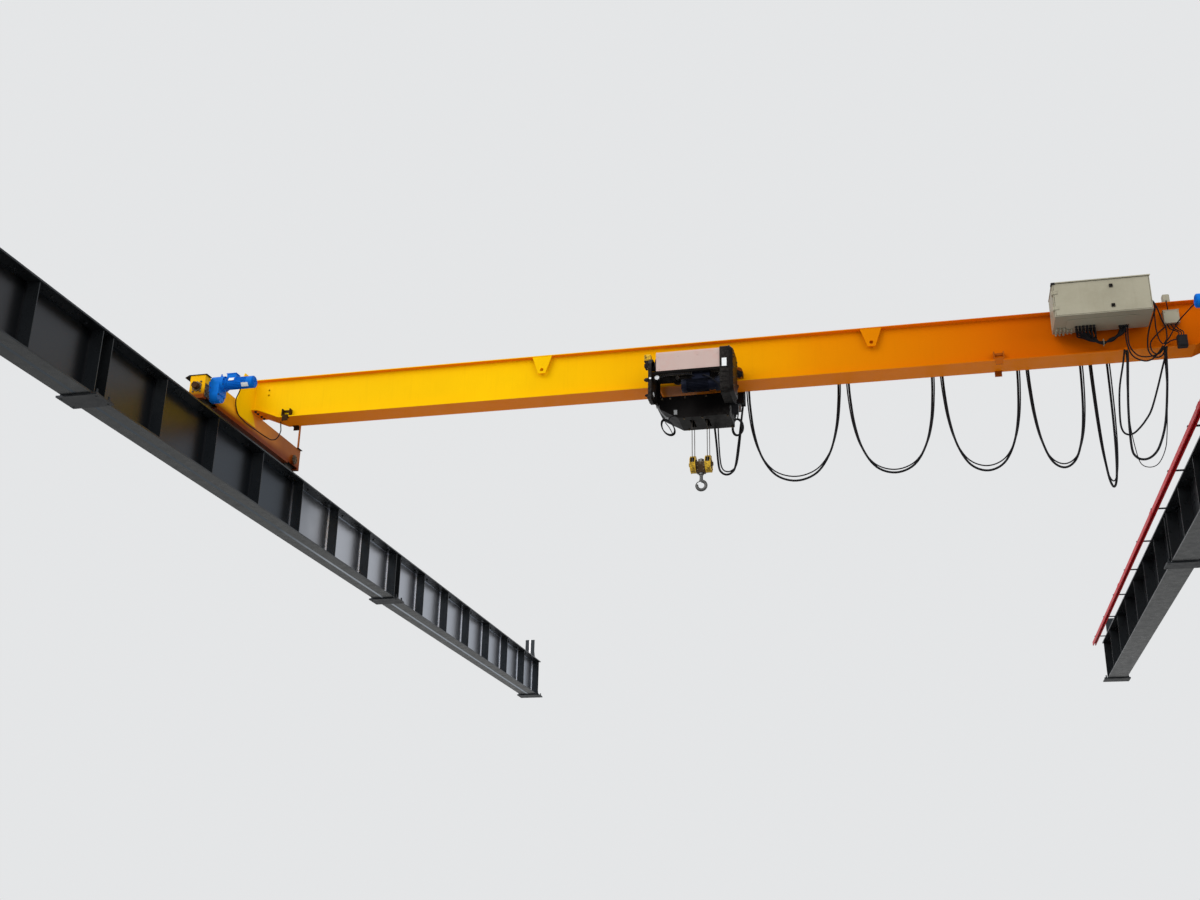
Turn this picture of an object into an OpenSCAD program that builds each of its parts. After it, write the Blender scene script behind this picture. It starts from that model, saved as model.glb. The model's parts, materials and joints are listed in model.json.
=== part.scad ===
// Overhead bridge crane: one box girder on two runway beams, with a low-headroom wire rope hoist.
// +X runs along the bridge, +Y along the runway and +Z up. The origin is the middle of the underside
// of the bearing plate that carries the left runway beam nearest the bridge. All sizes are millimetres.

/* [Runway] */
// Distance between the centrelines of the two crane rails
span = 12000; // [10000:100:13000]
// Length of one runway bay, from support to support
bay_l = 8400; // [7200:100:9600]
// Number of bays on each side
bays = 3; // [2:1:4]
// Depth of a runway beam
beam_h = 770; // [650:10:900]
// Width of a runway beam's flanges
beam_w = 350; // [320:10:400]
// Thickness of a runway beam's flanges
beam_flange_t = 20; // [14:1:28]
// Thickness of a runway beam's web
beam_web_t = 12; // [8:1:18]
// Gap between two runway beams over a support
beam_gap = 10; // [4:1:20]
// Panels between web stiffeners in one bay
panels = 7; // [5:1:9]
// Thickness of a web stiffener
stiff_t = 12; // [8:1:20]
// Distance from a stiffener's edge to the flange edge
stiff_inset = 15; // [5:1:30]
// Distance from a beam's end to its bearing stiffener
stiff_end = 90; // [60:5:140]

/* [Bearing plates] */
// Thickness of a bearing plate
seat_t = 20; // [12:1:30]
// Width of a bearing plate, across the runway
seat_w = 480; // [460:10:560]
// Length of a bearing plate, along the runway
seat_l = 320; // [280:10:400]
// Distance between bolt holes across the runway
seat_hole_x = 410; // [400:5:420]
// Distance between bolt holes along the runway
seat_hole_y = 220; // [160:5:240]
// Radius of a bolt hole in a bearing plate
seat_hole_r = 13; // [9:1:14]

/* [Rails and stops] */
// Height of a crane rail
rail_h = 90; // [75:5:105]
// Width of a crane rail's foot
rail_foot_w = 110; // [90:5:130]
// Width of a crane rail's head
rail_head_w = 50; // [45:1:56]
// Thickness of a crane rail's web
rail_web_t = 14; // [10:1:20]
// Length of an end stop's base plate
stop_l = 280; // [240:10:320]
// Width of an end stop
stop_w = 200; // [160:10:240]
// Thickness of an end stop's plates
stop_t = 16; // [10:1:22]

/* [Conductor bar] */
// Distance from the right rail to the conductor bar
bar_offset = 350; // [330:5:400]
// Width of the conductor bar
bar_w = 60; // [50:1:70]
// Height of the conductor bar
bar_h = 70; // [60:1:80]
// Width of the slot that the collector shoe runs in
bar_slot_w = 26; // [24:1:30]
// Spacing of the conductor bar's hangers
hanger_pitch = 1600; // [1000:100:2400]

/* [Bridge] */
// Distance of the bridge from the supports at the origin
crane_y = 3400; // [2400:100:4400]
// Depth of the box girder
girder_h = 550; // [500:10:640]
// Width of the box girder's flanges
girder_flange_w = 340; // [330:5:350]
// Thickness of the top flange
girder_top_t = 10; // [8:1:16]
// Thickness of the bottom flange
girder_bottom_t = 14; // [10:1:18]
// Width of the box over its two webs
girder_box_w = 200; // [190:5:210]
// Thickness of a girder web
girder_web_t = 8; // [6:1:10]
// How far the girder's underside hangs below its seat on the end carriages
girder_drop = 125; // [90:5:150]
// How far the girder reaches past the rail centreline
girder_over = 130; // [100:5:160]

/* [End carriages] */
// Length of an end carriage
carriage_l = 2650; // [2500:10:2800]
// Width of an end carriage
carriage_w = 200; // [190:5:220]
// Height of an end carriage
carriage_h = 300; // [290:5:320]
// Wall thickness of an end carriage
carriage_t = 10; // [8:1:14]
// Gap between an end carriage and the rail head
carriage_gap = 30; // [26:1:40]
// Distance from an end carriage's end to the axle of its nearest wheel
wheel_inset = 200; // [170:5:240]
// Tread diameter of a bridge wheel
wheel_d = 250; // [240:5:260]
// Width of a bridge wheel's tread
wheel_tread_w = 60; // [58:1:66]
// Height of a bridge wheel's flanges
wheel_flange_h = 20; // [14:1:22]
// Thickness of a bridge wheel's flanges
wheel_flange_t = 15; // [10:1:18]
// Radius of a bridge wheel's axle
axle_r = 30; // [24:1:34]
// Length of a rubber buffer
buffer_l = 70; // [50:5:90]

/* [Control cabinet] */
// Width of the control cabinet
cab_w = 1020; // [900:10:1100]
// Depth of the control cabinet
cab_d = 440; // [380:5:480]
// Height of the control cabinet
cab_h = 415; // [380:5:450]
// Distance from the right rail to the cabinet's left side
cab_in = 1990; // [1900:10:2100]
// Thickness of the cabinet's sheet
cab_t = 4; // [2:1:5]
// Thickness of the cabinet's door
door_t = 20; // [16:1:26]

/* [Hoist] */
// Distance from the left rail to the middle of the trolley
trolley_x = 5970; // [5400:10:6400]
// Overall length of the hoist along the girder
hoist_l = 1040; // [1000:10:1100]
// Distance between the trolley's wheels along the girder
trolley_base = 510; // [480:10:540]
// Tread diameter of a trolley wheel
t_wheel_d = 110; // [100:2:120]
// Radius of a trolley wheel's axle
t_axle_r = 15; // [12:1:18]
// Radius of the rope drum
drum_r = 100; // [90:2:106]
// Distance between the drum's rope grooves
groove_pitch = 22; // [18:1:30]
// Radius of the drum's shaft
drum_shaft_r = 30; // [24:1:34]
// Radius of the hoist motor over its fins
motor_r = 80; // [70:2:86]
// Number of cooling fins on the hoist motor
motor_fins = 28; // [20:1:36]

/* [Hook block] */
// Distance between the two sheaves of the hook block
sheave_gap = 180; // [170:5:200]
// Radius of a rope sheave
sheave_r = 85; // [80:1:92]
// Width of a rope sheave
sheave_w = 26; // [22:1:30]
// Radius of the wire rope
rope_r = 5; // [4:0.5:6]
// Radius of the sheaves' axle
block_axle_r = 22; // [18:1:26]
// Radius of the hook's bowl, to the middle of its section
hook_bowl_r = 54; // [50:1:60]
// Radius of the hook's section
hook_r = 19; // [15:1:21]
// Radius of the hook's shank
shank_r = 20; // [16:1:24]

/* [Festoon] */
// Distance from the girder's middle to the festoon track
track_off = 400; // [390:5:440]
// Outer width and height of the festoon track
track_w = 40; // [36:1:46]
// Wall thickness of the festoon track
track_t = 3; // [2:0.5:4]
// Length of a cable trolley
carrier_l = 150; // [140:2:160]
// Radius of the festoon cable
cable_r = 13; // [9:1:15]

/* [Hidden] */

run_clear = 0.1; // a shaft in its bore, on the radius
seat_clear = 0.3; // a wheel on its rail, and a face that turns on another
move_clear = 5; // a moving piece beside a fixed one
join = 2; // how far one welded plate reaches into the next
round_n = 48; // facets of a round form

// Levels
beam_z1 = seat_t + beam_h;
rail_z = beam_z1 + rail_h;
wheel_z = rail_z + seat_clear + wheel_d / 2;
carriage_z0 = rail_z + carriage_gap;
carriage_z1 = carriage_z0 + carriage_h;
girder_z0 = carriage_z1 - girder_drop;
girder_z1 = girder_z0 + girder_h;
run_z = girder_z0 + girder_bottom_t;

// Places along the runway
run_y0 = -bay_l;
run_y1 = run_y0 + bays * bay_l;
carriage_y0 = crane_y - carriage_l / 2;
carriage_y1 = crane_y + carriage_l / 2;
wheel_ys = [carriage_y0 + wheel_inset, carriage_y1 - wheel_inset];

// Place of the girder's webs and flange edges
web_y0 = crane_y - girder_box_w / 2;
web_y1 = crane_y + girder_box_w / 2;
flange_y0 = crane_y - girder_flange_w / 2;
flange_y1 = crane_y + girder_flange_w / 2;

// Girder end: where the underside starts to rise and where it reaches its seat
rise_x0 = 500;
rise_x1 = 190;

// Travel drives, on the inner face of each end carriage
drive_y = wheel_ys[0];
drive_z = wheel_z + 150;
drive_box_l = 170;
drive_motor_l = 380;
drive_cap_l = 60;
drive_r = 75;
drive_case_r0 = 92;
drive_case_r1 = 96;

// Trolley and hoist
hoist_x0 = trolley_x - hoist_l / 2;
hoist_x1 = trolley_x + hoist_l / 2;
side_t = 12;
side_in = girder_flange_w / 2 + move_clear + 12 + 13;
side_y0 = crane_y - side_in - side_t;
side_y1 = crane_y + side_in + side_t;
t_wheel_z = run_z + seat_clear + t_wheel_d / 2;
t_flange_h = 12;
t_flange_t = 12;
t_tread_w = 43;
axle_head = 40;
t_wheel_xs = [trolley_x - trolley_base / 2, trolley_x + trolley_base / 2];
under_x0 = hoist_x0 + side_t;
under_x1 = trolley_x + 360;
under_z0 = rail_z - 230;
under_z1 = under_z0 + 280;
drum_off = 500;
drum_y = crane_y - drum_off;
drum_z = run_z + 81;
gearbox_l = 150;
gearbox_x1 = hoist_x1 - 50;
gearbox_x0 = gearbox_x1 - gearbox_l;
motor_off = 570;
motor_l = 460;
motor_y = crane_y - motor_off;
motor_z = run_z - 204;
pulley_z = under_z0 + 130;
pulley_r = sheave_r;
front_off = 700;
front_y = crane_y - front_off;

// Hook block
block_z = 123;
fall_off = sheave_r + rope_r + seat_clear;
block_x = trolley_x - 20;
sheave_xs = [block_x - sheave_gap / 2, block_x + sheave_gap / 2];
hook_z = -140;
sheave_cover_r = sheave_r + 18;
sheave_cover_w = sheave_w + 34;
crosshead_z0 = block_z - 108;

// Control cabinet
cab_x0 = span - cab_in;
cab_z0 = girder_z1 - 290;
cab_y1 = flange_y0 - move_clear;
cab_y0 = cab_y1 - cab_d;
hinge_x = cab_x0 - 9;
hinge_y = cab_y0 - 13;
hinge_r = 8;
hinge_pin_r = 4;
hinge_zs = [cab_z0 + 85, cab_z0 + cab_h - 140];
hinge_l = 40;

// Festoon: track, cable trolleys and their places at rest
track_y = crane_y + track_off;
track_z0 = girder_z1 - 185;
track_x0 = 600;
track_end = 1210;
track_x1 = span - track_end;
roller_r = 11;
clamp_inset = 95;
clamp_x = track_x1 - clamp_inset;
tow_off = 455;
tow_x = trolley_x + tow_off;
// Where the cable trolleys stand, as shares of the way from the tow trolley to the fixed clamp
carrier_shares = [0, 0.2821, 0.5393, 0.767, 0.931];
carrier_xs = [for (s = carrier_shares) tow_x + s * (clamp_x - tow_x)];
cable_exit = 60;
carrier_z0 = track_z0 - 65;
// Depths of the cable loops, from the tow trolley to the fixed clamp
loop_depths = [1395, 1370, 1415, 1435, 1700];
// Shape of one loop: share of its width and of its depth
loop_shape = [
    [0, 0], [0, 0.1], [0.012, 0.3], [0.05, 0.55], [0.13, 0.77], [0.28, 0.94],
    [0.5, 1], [0.72, 0.94], [0.87, 0.77], [0.95, 0.55], [0.988, 0.3], [1, 0.1], [1, 0]
];
// Routes of the two single cables as [x, y, z], from the trolley's middle and from the right rail
hoist_loop = [
    [465, 400, 1385], [465, 400, 1270], [435, 390, 960], [380, 362, 500], [340, 335, 200],
    [295, 322, 115], [236, 314, 90], [178, 308, 118], [144, 304, 200], [120, 301, 500],
    [85, 300, 900], [85, 300, 980]
];
bridge_loop = [
    [-828, -195, 1070], [-828, -195, 980], [-860, -195, 640], [-930, -195, 200], [-1015, -195, -60],
    [-1095, -195, -180], [-1190, -195, -225], [-1275, -195, -190], [-1310, -195, -60],
    [-1290, -195, 400], [-1228, -195, 980], [-1228, -195, 1070]
];

// Basic forms: a box between two corners, and round bars along X, Y and Z
module block(a, b) {
    translate(a)
        cube([b[0] - a[0], b[1] - a[1], b[2] - a[2]]);
}

module bar_x(x0, x1, y, z, r, n = round_n) {
    translate([x0, y, z])
        rotate([0, 90, 0])
            cylinder(h = x1 - x0, r = r, $fn = n);
}

module bar_y(x, y0, y1, z, r, n = round_n) {
    translate([x, y0, z])
        rotate([-90, 0, 0])
            cylinder(h = y1 - y0, r = r, $fn = n);
}

module bar_z(x, y, z0, z1, r, n = round_n) {
    translate([x, y, z0])
        cylinder(h = z1 - z0, r = r, $fn = n);
}

// An outline drawn as [x, z], extruded from y0 to y1
module plate_xz(y0, y1) {
    translate([0, y1, 0])
        rotate([90, 0, 0])
            linear_extrude(y1 - y0)
                children();
}

// An outline drawn as [y, z], extruded from x0 to x1
module plate_yz(x0, x1) {
    translate([x0, 0, 0])
        rotate([90, 0, 90])
            linear_extrude(x1 - x0)
                children();
}

// The right half of the crane is the left half seen in a mirror
module mirrored() {
    translate([span, 0, 0])
        mirror([1, 0, 0])
            children();
}

// A tube swept along points, with 8 sides and a ring square to the route at every point
function unit(v) = v / norm(v);
function heading(p, i) =
    unit(p[min(i + 1, len(p) - 1)] - p[max(i - 1, 0)]);
function tube_ring(p, i, r) =
    let (d = heading(p, i), side = unit(cross(d, [0, 1, 0])))
    [for (k = [0:7]) p[i] + r * (cos(45 * k) * side + sin(45 * k) * [0, 1, 0])];

module tube(p, r) {
    last = 8 * (len(p) - 1);
    sides = [
        for (i = [0:len(p) - 2])
            for (k = [0:7])
                [8 * i + k, 8 * i + (k + 1) % 8, 8 * i + 8 + (k + 1) % 8, 8 * i + 8 + k]
    ];
    ends = [[for (k = [7:-1:0]) k], [for (k = [0:7]) last + k]];
    polyhedron(
        points = [for (i = [0:len(p) - 1]) each tube_ring(p, i, r)],
        faces = concat(sides, ends)
    );
}

// One runway beam: two flanges, a web and its stiffeners, from y0 to y1
module runway_beam(x, y0, y1) {
    web_z0 = seat_t + beam_flange_t;
    web_z1 = beam_z1 - beam_flange_t;
    pitch = bay_l / panels;
    half = beam_w / 2;
    reach = half - stiff_inset;
    block([x - half, y0, seat_t], [x + half, y1, web_z0]);
    block([x - half, y0, web_z1], [x + half, y1, beam_z1]);
    block([x - beam_web_t / 2, y0, web_z0 - join], [x + beam_web_t / 2, y1, web_z1 + join]);
    for (y = [y0 + stiff_end, y1 - stiff_end])
        block([x - reach, y - stiff_t / 2, web_z0 - join], [x + reach, y + stiff_t / 2, web_z1 + join]);
    for (i = [1:panels - 1])
        translate([0, y0 - beam_gap / 2 + i * pitch, 0])
            block([x - reach, -stiff_t / 2, web_z0 - join], [x + reach, stiff_t / 2, web_z1 + join]);
}

module runway_beams(x) {
    color("#1d2229")
        for (i = [0:bays - 1])
            runway_beam(x, run_y0 + i * bay_l + beam_gap / 2, run_y0 + (i + 1) * bay_l - beam_gap / 2);
}

module runway_beams_left() {
    runway_beams(0);
}

module runway_beams_right() {
    runway_beams(span);
}

module rail_outline() {
    foot = rail_foot_w / 2;
    head = rail_head_w / 2;
    web = rail_web_t / 2;
    half = [
        [foot, 0], [foot, 8], [web + 7, 18], [web, 28], [web, rail_h - 36], [head - 2, rail_h - 28],
        [head, rail_h - 24], [head, rail_h - 4], [head - 4, rail_h]
    ];
    polygon(concat(half, [for (i = [len(half) - 1:-1:0]) [-half[i][0], half[i][1]]]));
}

module crane_rail(x) {
    color("#6b5f57")
        translate([x, 0, beam_z1])
            plate_xz(run_y0 + stop_l + 20, run_y1 - stop_l - 20)
                rail_outline();
}

module crane_rail_left() {
    crane_rail(0);
}

module crane_rail_right() {
    crane_rail(span);
}

// An end stop on the top flange: base plate, face plate and two gussets behind it
module end_stop() {
    face_z = carriage_z1 - beam_z1;
    block([-stop_w / 2, 0, 0], [stop_w / 2, stop_l, stop_t]);
    block([-stop_w / 2, stop_l - stop_t, stop_t - join], [stop_w / 2, stop_l, face_z]);
    for (x = [-stop_w / 4, stop_w / 4])
        plate_yz(x - stop_t / 2, x + stop_t / 2)
            polygon([
                [stop_t, stop_t - join], [stop_l - stop_t + join, stop_t - join],
                [stop_l - stop_t + join, face_z - 40], [stop_l - stop_t - 40, face_z - 40]
            ]);
}

module end_stops() {
    color("#1d2229")
        for (x = [0, span]) {
            translate([x, run_y0 + beam_gap / 2, beam_z1])
                end_stop();
            translate([x, run_y1 - beam_gap / 2, beam_z1])
                mirror([0, 1, 0])
                    end_stop();
        }
}

// Bearing plates stand under each end of the runway and under each joint between its beams
function seat_y(i) =
    i == 0 ? run_y0 + seat_l / 2 : i == bays ? run_y1 - seat_l / 2 : run_y0 + i * bay_l;

module bearing_plate() {
    difference() {
        block([-seat_w / 2, -seat_l / 2, 0], [seat_w / 2, seat_l / 2, seat_t]);
        for (x = [-seat_hole_x / 2, seat_hole_x / 2], y = [-seat_hole_y / 2, seat_hole_y / 2])
            bar_z(x, y, -join, seat_t + join, seat_hole_r);
    }
}

module bearing_plates() {
    color("#2a2f36")
        for (x = [0, span], i = [0:bays])
            translate([x, seat_y(i), 0])
                bearing_plate();
}

bar_x = span - bar_offset;
bar_z1 = beam_z1 - beam_flange_t - 10;
bar_z0 = bar_z1 - bar_h;

module conductor_bar() {
    color("#d3202a")
        plate_xz(run_y0 + 120, run_y1 - 200)
            difference() {
                translate([bar_x - bar_w / 2, bar_z0])
                    square([bar_w, bar_h]);
                translate([bar_x - bar_slot_w / 2, bar_z0 - join])
                    square([bar_slot_w, bar_h - 15 + join]);
            }
}

hanger_n = floor((run_y1 - run_y0 - 800) / hanger_pitch);

module conductor_hangers() {
    color("#30353c")
        for (i = [0:hanger_n])
            translate([0, run_y0 + 500 + i * hanger_pitch, 0])
                block([bar_x - bar_w / 2 - 6, -25, bar_z1], [span - beam_w / 2 + stiff_inset - 3, 25, bar_z1 + 10]);
}

// The girder's underside, from its left end to its right end, as [x, z]
under_line = [
    [-girder_over, carriage_z1], [rise_x1, carriage_z1], [rise_x0, girder_z0],
    [span - rise_x0, girder_z0], [span - rise_x1, carriage_z1], [span + girder_over, carriage_z1]
];

module girder_web() {
    polygon(concat(
        [for (p = under_line) [p[0], p[1] + girder_bottom_t - join]],
        [[span + girder_over, girder_z1 - girder_top_t + join],
         [-girder_over, girder_z1 - girder_top_t + join]]
    ));
}

module girder_bottom() {
    polygon(concat(
        under_line,
        [for (i = [len(under_line) - 1:-1:0]) under_line[i] + [0, girder_bottom_t]]
    ));
}

module bridge_girder() {
    color("#f0a202")
        difference() {
            union() {
                block(
                    [-girder_over, flange_y0, girder_z1 - girder_top_t],
                    [span + girder_over, flange_y1, girder_z1]
                );
                plate_xz(web_y0, web_y0 + girder_web_t)
                    girder_web();
                plate_xz(web_y1 - girder_web_t, web_y1)
                    girder_web();
                plate_xz(flange_y0, flange_y1)
                    girder_bottom();
                for (x = [-girder_over, span + girder_over - girder_web_t])
                    block(
                        [x, web_y0 + join, carriage_z1 + join],
                        [x + girder_web_t, web_y1 - join, girder_z1 - join]
                    );
            }
            for (x = [300, span - 300], z = [girder_z1 - 130, girder_z1 - 200])
                bar_y(x, web_y0 - join, web_y1 + join, z, 12);
        }
}

// A gusset that ties the girder's web to the inner face of an end carriage, with one hollow edge.
// Its points are [distance from the girder's middle, height above the carriage's top]
module end_gusset() {
    top = girder_h - girder_drop - girder_top_t;
    ledge = girder_flange_w / 2;
    web = girder_box_w / 2;
    reach = ledge + gusset_reach;
    foot = -carriage_h + 115;
    color("#f0a202")
        plate_yz(carriage_w / 2, carriage_w / 2 + gusset_t)
            translate([0, carriage_z1])
                polygon([
                    [web, top], [ledge + 250, top], [reach - 70, top - 220], [reach - 38, 50],
                    [reach - 10, -40], [reach, -90], [reach - 8, -130], [reach - 40, -160],
                    [reach - 90, -178], [reach - 150, foot], [10, foot], [ledge - 70, -60],
                    [ledge, 0], [ledge, girder_bottom_t], [web, girder_bottom_t]
                ]);
}

gusset_t = 12;
gusset_reach = 400;

// A triangular lug under the top flange, with an eye
module lug() {
    lug_w = 250;
    lug_h = 230;
    difference() {
        polygon([[-lug_w / 2, 0], [lug_w / 2, 0], [45, -lug_h], [-45, -lug_h]]);
        translate([0, -lug_h + 50])
            circle(r = 22, $fn = round_n);
    }
}

lug_t = 14;
lug_spread = 2000;
trolley_stop_l = 120;
travel_left = 4750;
travel_right = 2850;
stop_x_left = hoist_x0 - travel_left - 8 * move_clear;
stop_x_right = hoist_x1 + travel_right + 2 * move_clear;

module girder_brackets() {
    color("#f0a202") {
        // Gussets on both end carriages, on the girder's front
        for (side = [0, 1])
            translate([side * span, 0, 0])
                mirror([side, 0, 0]) {
                    translate([0, crane_y, 0])
                        mirror([0, 1, 0])
                            end_gusset();
                }
        // Lifting lugs
        for (x = [span / 2 - lug_spread, span / 2 + lug_spread], y = [flange_y0 + 4, flange_y1 - 4 - lug_t])
            translate([x, 0, girder_z1 - girder_top_t])
                plate_xz(y, y + lug_t)
                    lug();
        // Brackets between the web and the control cabinet's back
        for (x = [cab_x0 + 150, cab_x0 + cab_w - 210])
            block([x, cab_y1, cab_z0 + 30], [x + 60, web_y0, cab_z0 + 240]);
        // Clamps on the flange's edge, which hold the drive cable's loop
        for (p = [bridge_loop[0], bridge_loop[len(bridge_loop) - 1]])
            translate([span + p[0], 0, 0])
                block([-22, crane_y + p[1] - 18, p[2]], [22, flange_y0, girder_z0 + girder_bottom_t]);
    }
}

// A stop for the trolley: two cheeks and a base on the flange, and a clamp over the flange's edge.
// It reaches from x away from the trolley, on the side of the web that side names
module trolley_stop(x, away, side) {
    w = (girder_flange_w - girder_box_w) / 2 - 5;
    l = trolley_stop_l;
    cheek = 14;
    high = 100;
    translate([x, crane_y, 0])
        mirror([away, 0, 0])
            mirror([0, side, 0])
                translate([0, girder_box_w / 2, 0]) {
                    block([0, 0, run_z], [l, w + 5, run_z + 12]);
                    for (x0 = [0, l - cheek])
                        block([x0, 0, run_z + 12 - join], [x0 + cheek, w, run_z + high]);
                    block([cheek - join, 0, run_z + high - 30], [l - cheek + join, 12, run_z + high]);
                    // Clamp over the flange's edge
                    block([20, w + 5, girder_z0 - 55], [l - 20, w + 15, run_z + 12]);
                    block([20, w - 30, girder_z0 - 12], [l - 20, w + 5 + join, girder_z0]);
                }
}

module trolley_stops() {
    color("#3a2c1c")
        for (side = [0, 1]) {
            trolley_stop(stop_x_left, 1, side);
            trolley_stop(stop_x_right, 0, side);
        }
}

// One end carriage: a box with wheel openings below and bearing bosses at the axles
module end_carriage() {
    half = carriage_w / 2;
    inner = half - carriage_t;
    boss_l = 22;
    boss_r = 68;
    pocket = wheel_d / 2 + wheel_flange_h - 5;
    arch_h = 26;
    color("#e8890c")
        difference() {
            union() {
                block([-half, carriage_y0, carriage_z0], [half, carriage_y1, carriage_z1]);
                for (y = wheel_ys)
                    bar_x(-half - boss_l, half, y, wheel_z, boss_r);
                bar_x(half - join, half + boss_l, wheel_ys[1], wheel_z, boss_r);
            }
            block(
                [-inner, carriage_y0 + carriage_t, carriage_z0 + carriage_t],
                [inner, carriage_y1 - carriage_t, carriage_z1 - carriage_t]
            );
            for (y = wheel_ys) {
                block([-inner, y - pocket, carriage_z0 - join], [inner, y + pocket, carriage_z0 + carriage_t + join]);
                // The side walls are cut away below the wheels
                block([-half - join, y - pocket, carriage_z0 - join], [half + join, y + pocket, carriage_z0 + arch_h]);
                bar_x(-half - boss_l - join, half + boss_l + join, y, wheel_z, axle_r + run_clear);
            }
        }
}

module end_carriage_left() {
    end_carriage();
}

module end_carriage_right() {
    mirrored()
        end_carriage();
}

module carriage_buffers() {
    z = (carriage_z0 + carriage_z1) / 2;
    color("#161616")
        for (x = [0, span]) {
            bar_y(x, carriage_y0 - buffer_l, carriage_y0, z, 40);
            bar_y(x, carriage_y1, carriage_y1 + buffer_l, z, 40);
        }
}

// A bridge wheel with two flanges and its axle, turning about X at the origin
module bridge_wheel() {
    tread = wheel_tread_w / 2;
    rim = tread + wheel_flange_t;
    r = wheel_d / 2;
    hub = carriage_w / 2 - carriage_t - seat_clear;
    tip = carriage_w / 2 + 15;
    color("#4d4f52")
        rotate([0, 90, 0])
            rotate_extrude($fn = 72)
                polygon([
                    [0, -tip], [axle_r, -tip], [axle_r, -hub], [axle_r + 16, -hub], [axle_r + 22, -rim],
                    [r + wheel_flange_h, -rim], [r + wheel_flange_h, -rim + 8], [r, -tread], [r, tread],
                    [r + wheel_flange_h, rim - 8], [r + wheel_flange_h, rim], [axle_r + 22, rim],
                    [axle_r + 16, hub], [axle_r, hub], [axle_r, tip], [0, tip]
                ]);
}

module bridge_wheel_at(x, y) {
    translate([x, y, wheel_z])
        bridge_wheel();
}

module bridge_wheel_1() {
    bridge_wheel_at(0, wheel_ys[0]);
}

module bridge_wheel_2() {
    bridge_wheel_at(0, wheel_ys[1]);
}

module bridge_wheel_3() {
    bridge_wheel_at(span, wheel_ys[0]);
}

module bridge_wheel_4() {
    bridge_wheel_at(span, wheel_ys[1]);
}

// Upright gear case of a travel drive, over the wheel's axle and the motor's shaft
module travel_gearbox() {
    x0 = carriage_w / 2;
    axle_hole = axle_r + 12;
    color("#1558b8")
        difference() {
            union() {
                bar_x(x0, x0 + drive_box_l - 50, wheel_ys[0], wheel_z, drive_case_r0);
                bar_x(x0 + 10, x0 + drive_box_l, drive_y, drive_z, drive_case_r1);
                plate_yz(x0 + 8, x0 + drive_box_l - 40)
                    polygon([
                        [wheel_ys[0] - drive_case_r0, wheel_z], [wheel_ys[0] + drive_case_r0, wheel_z],
                        [drive_y + drive_case_r1, drive_z], [drive_y - drive_case_r1, drive_z]
                    ]);
                // Foot that meets the carriage's inner face
                block(
                    [x0, wheel_ys[0] - drive_case_r0 - 18, wheel_z + 20],
                    [x0 + 16, wheel_ys[0] + drive_case_r0 + 18, drive_z]
                );
            }
            bar_x(x0 - join, x0 + 25, wheel_ys[0], wheel_z, axle_hole);
        }
}

module travel_gearboxes() {
    travel_gearbox();
    mirrored()
        travel_gearbox();
}

// Finned motor of a travel drive, with its brake cap and terminal box
module travel_motor() {
    x0 = carriage_w / 2 + drive_box_l;
    x1 = x0 + drive_motor_l;
    fins = 24;
    color("#1e6fd9") {
        difference() {
            bar_x(x0, x1, drive_y, drive_z, drive_r - 8);
            bar_x(x1 - 12, x1 + join, drive_y, drive_z, 14);
        }
        for (i = [0:fins - 1])
            translate([x0 + 30, drive_y, drive_z])
                rotate([i * 360 / fins, 0, 0])
                    translate([0, -2, 0])
                        cube([drive_motor_l - drive_cap_l - 60, 4, drive_r]);
        bar_x(x1 - drive_cap_l - 10, x1 - 8, drive_y, drive_z, drive_r);
        block([x0 + 25, drive_y - 45, drive_z + 50], [x0 + 145, drive_y + 45, drive_z + drive_r + 38]);
        block(
            [x0 + 19, drive_y - 51, drive_z + drive_r + 38 - join],
            [x0 + 151, drive_y + 51, drive_z + drive_r + 46]
        );
    }
}

module travel_motors() {
    travel_motor();
    mirrored()
        travel_motor();
}

// Cabinet: a sheet box, open at the front, with a fold round the opening and hinge pins at its left
module control_cabinet() {
    x1 = cab_x0 + cab_w;
    z1 = cab_z0 + cab_h;
    color("#cbc7b4") {
        difference() {
            block([cab_x0, cab_y0, cab_z0], [x1, cab_y1, z1]);
            block([cab_x0 + cab_t, cab_y0 - join, cab_z0 + cab_t], [x1 - cab_t, cab_y1 - cab_t, z1 - cab_t]);
        }
        for (z = hinge_zs) {
            bar_z(hinge_x, hinge_y, z - 8, z + hinge_l + 8, hinge_pin_r);
            for (dz = [-8, hinge_l + 3])
                translate([0, 0, z + dz])
                    linear_extrude(5)
                        polygon([
                            [hinge_x - 6, hinge_y - 6], [hinge_x + 5, hinge_y - 6],
                            [cab_x0 + 1, cab_y0 + 4], [cab_x0 + 1, cab_y0 + 30], [cab_x0 - 6, cab_y0 + 30],
                            [hinge_x - 6, hinge_y + 6]
                        ]);
        }
    }
}

// Door: a folded pan with its hinge knuckles and two quarter-turn latches
module cabinet_door() {
    y1 = cab_y0 - seat_clear;
    y0 = y1 - door_t;
    x1 = cab_x0 + cab_w;
    z1 = cab_z0 + cab_h;
    latch_x = cab_x0 + 0.6 * cab_w;
    color("#c6c2af")
        difference() {
            union() {
                difference() {
                    block([cab_x0 + 2, y0, cab_z0 + 2], [x1 - 2, y1, z1 - 2]);
                    block([cab_x0 + 22, y0 + 4, cab_z0 + 22], [x1 - 22, y1 + join, z1 - 22]);
                }
                for (z = hinge_zs) {
                    bar_z(hinge_x, hinge_y, z, z + hinge_l - seat_clear, hinge_r);
                    block([hinge_x, y0, z], [cab_x0 + 20, y0 + 5, z + hinge_l - seat_clear]);
                }
                for (z = [cab_z0 + 80, z1 - 95])
                    bar_y(latch_x, y0 - 12, y0 + join, z, 18);
            }
            for (z = hinge_zs)
                bar_z(hinge_x, hinge_y, z - join, z + hinge_l + join, hinge_pin_r + run_clear);
        }
}

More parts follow.
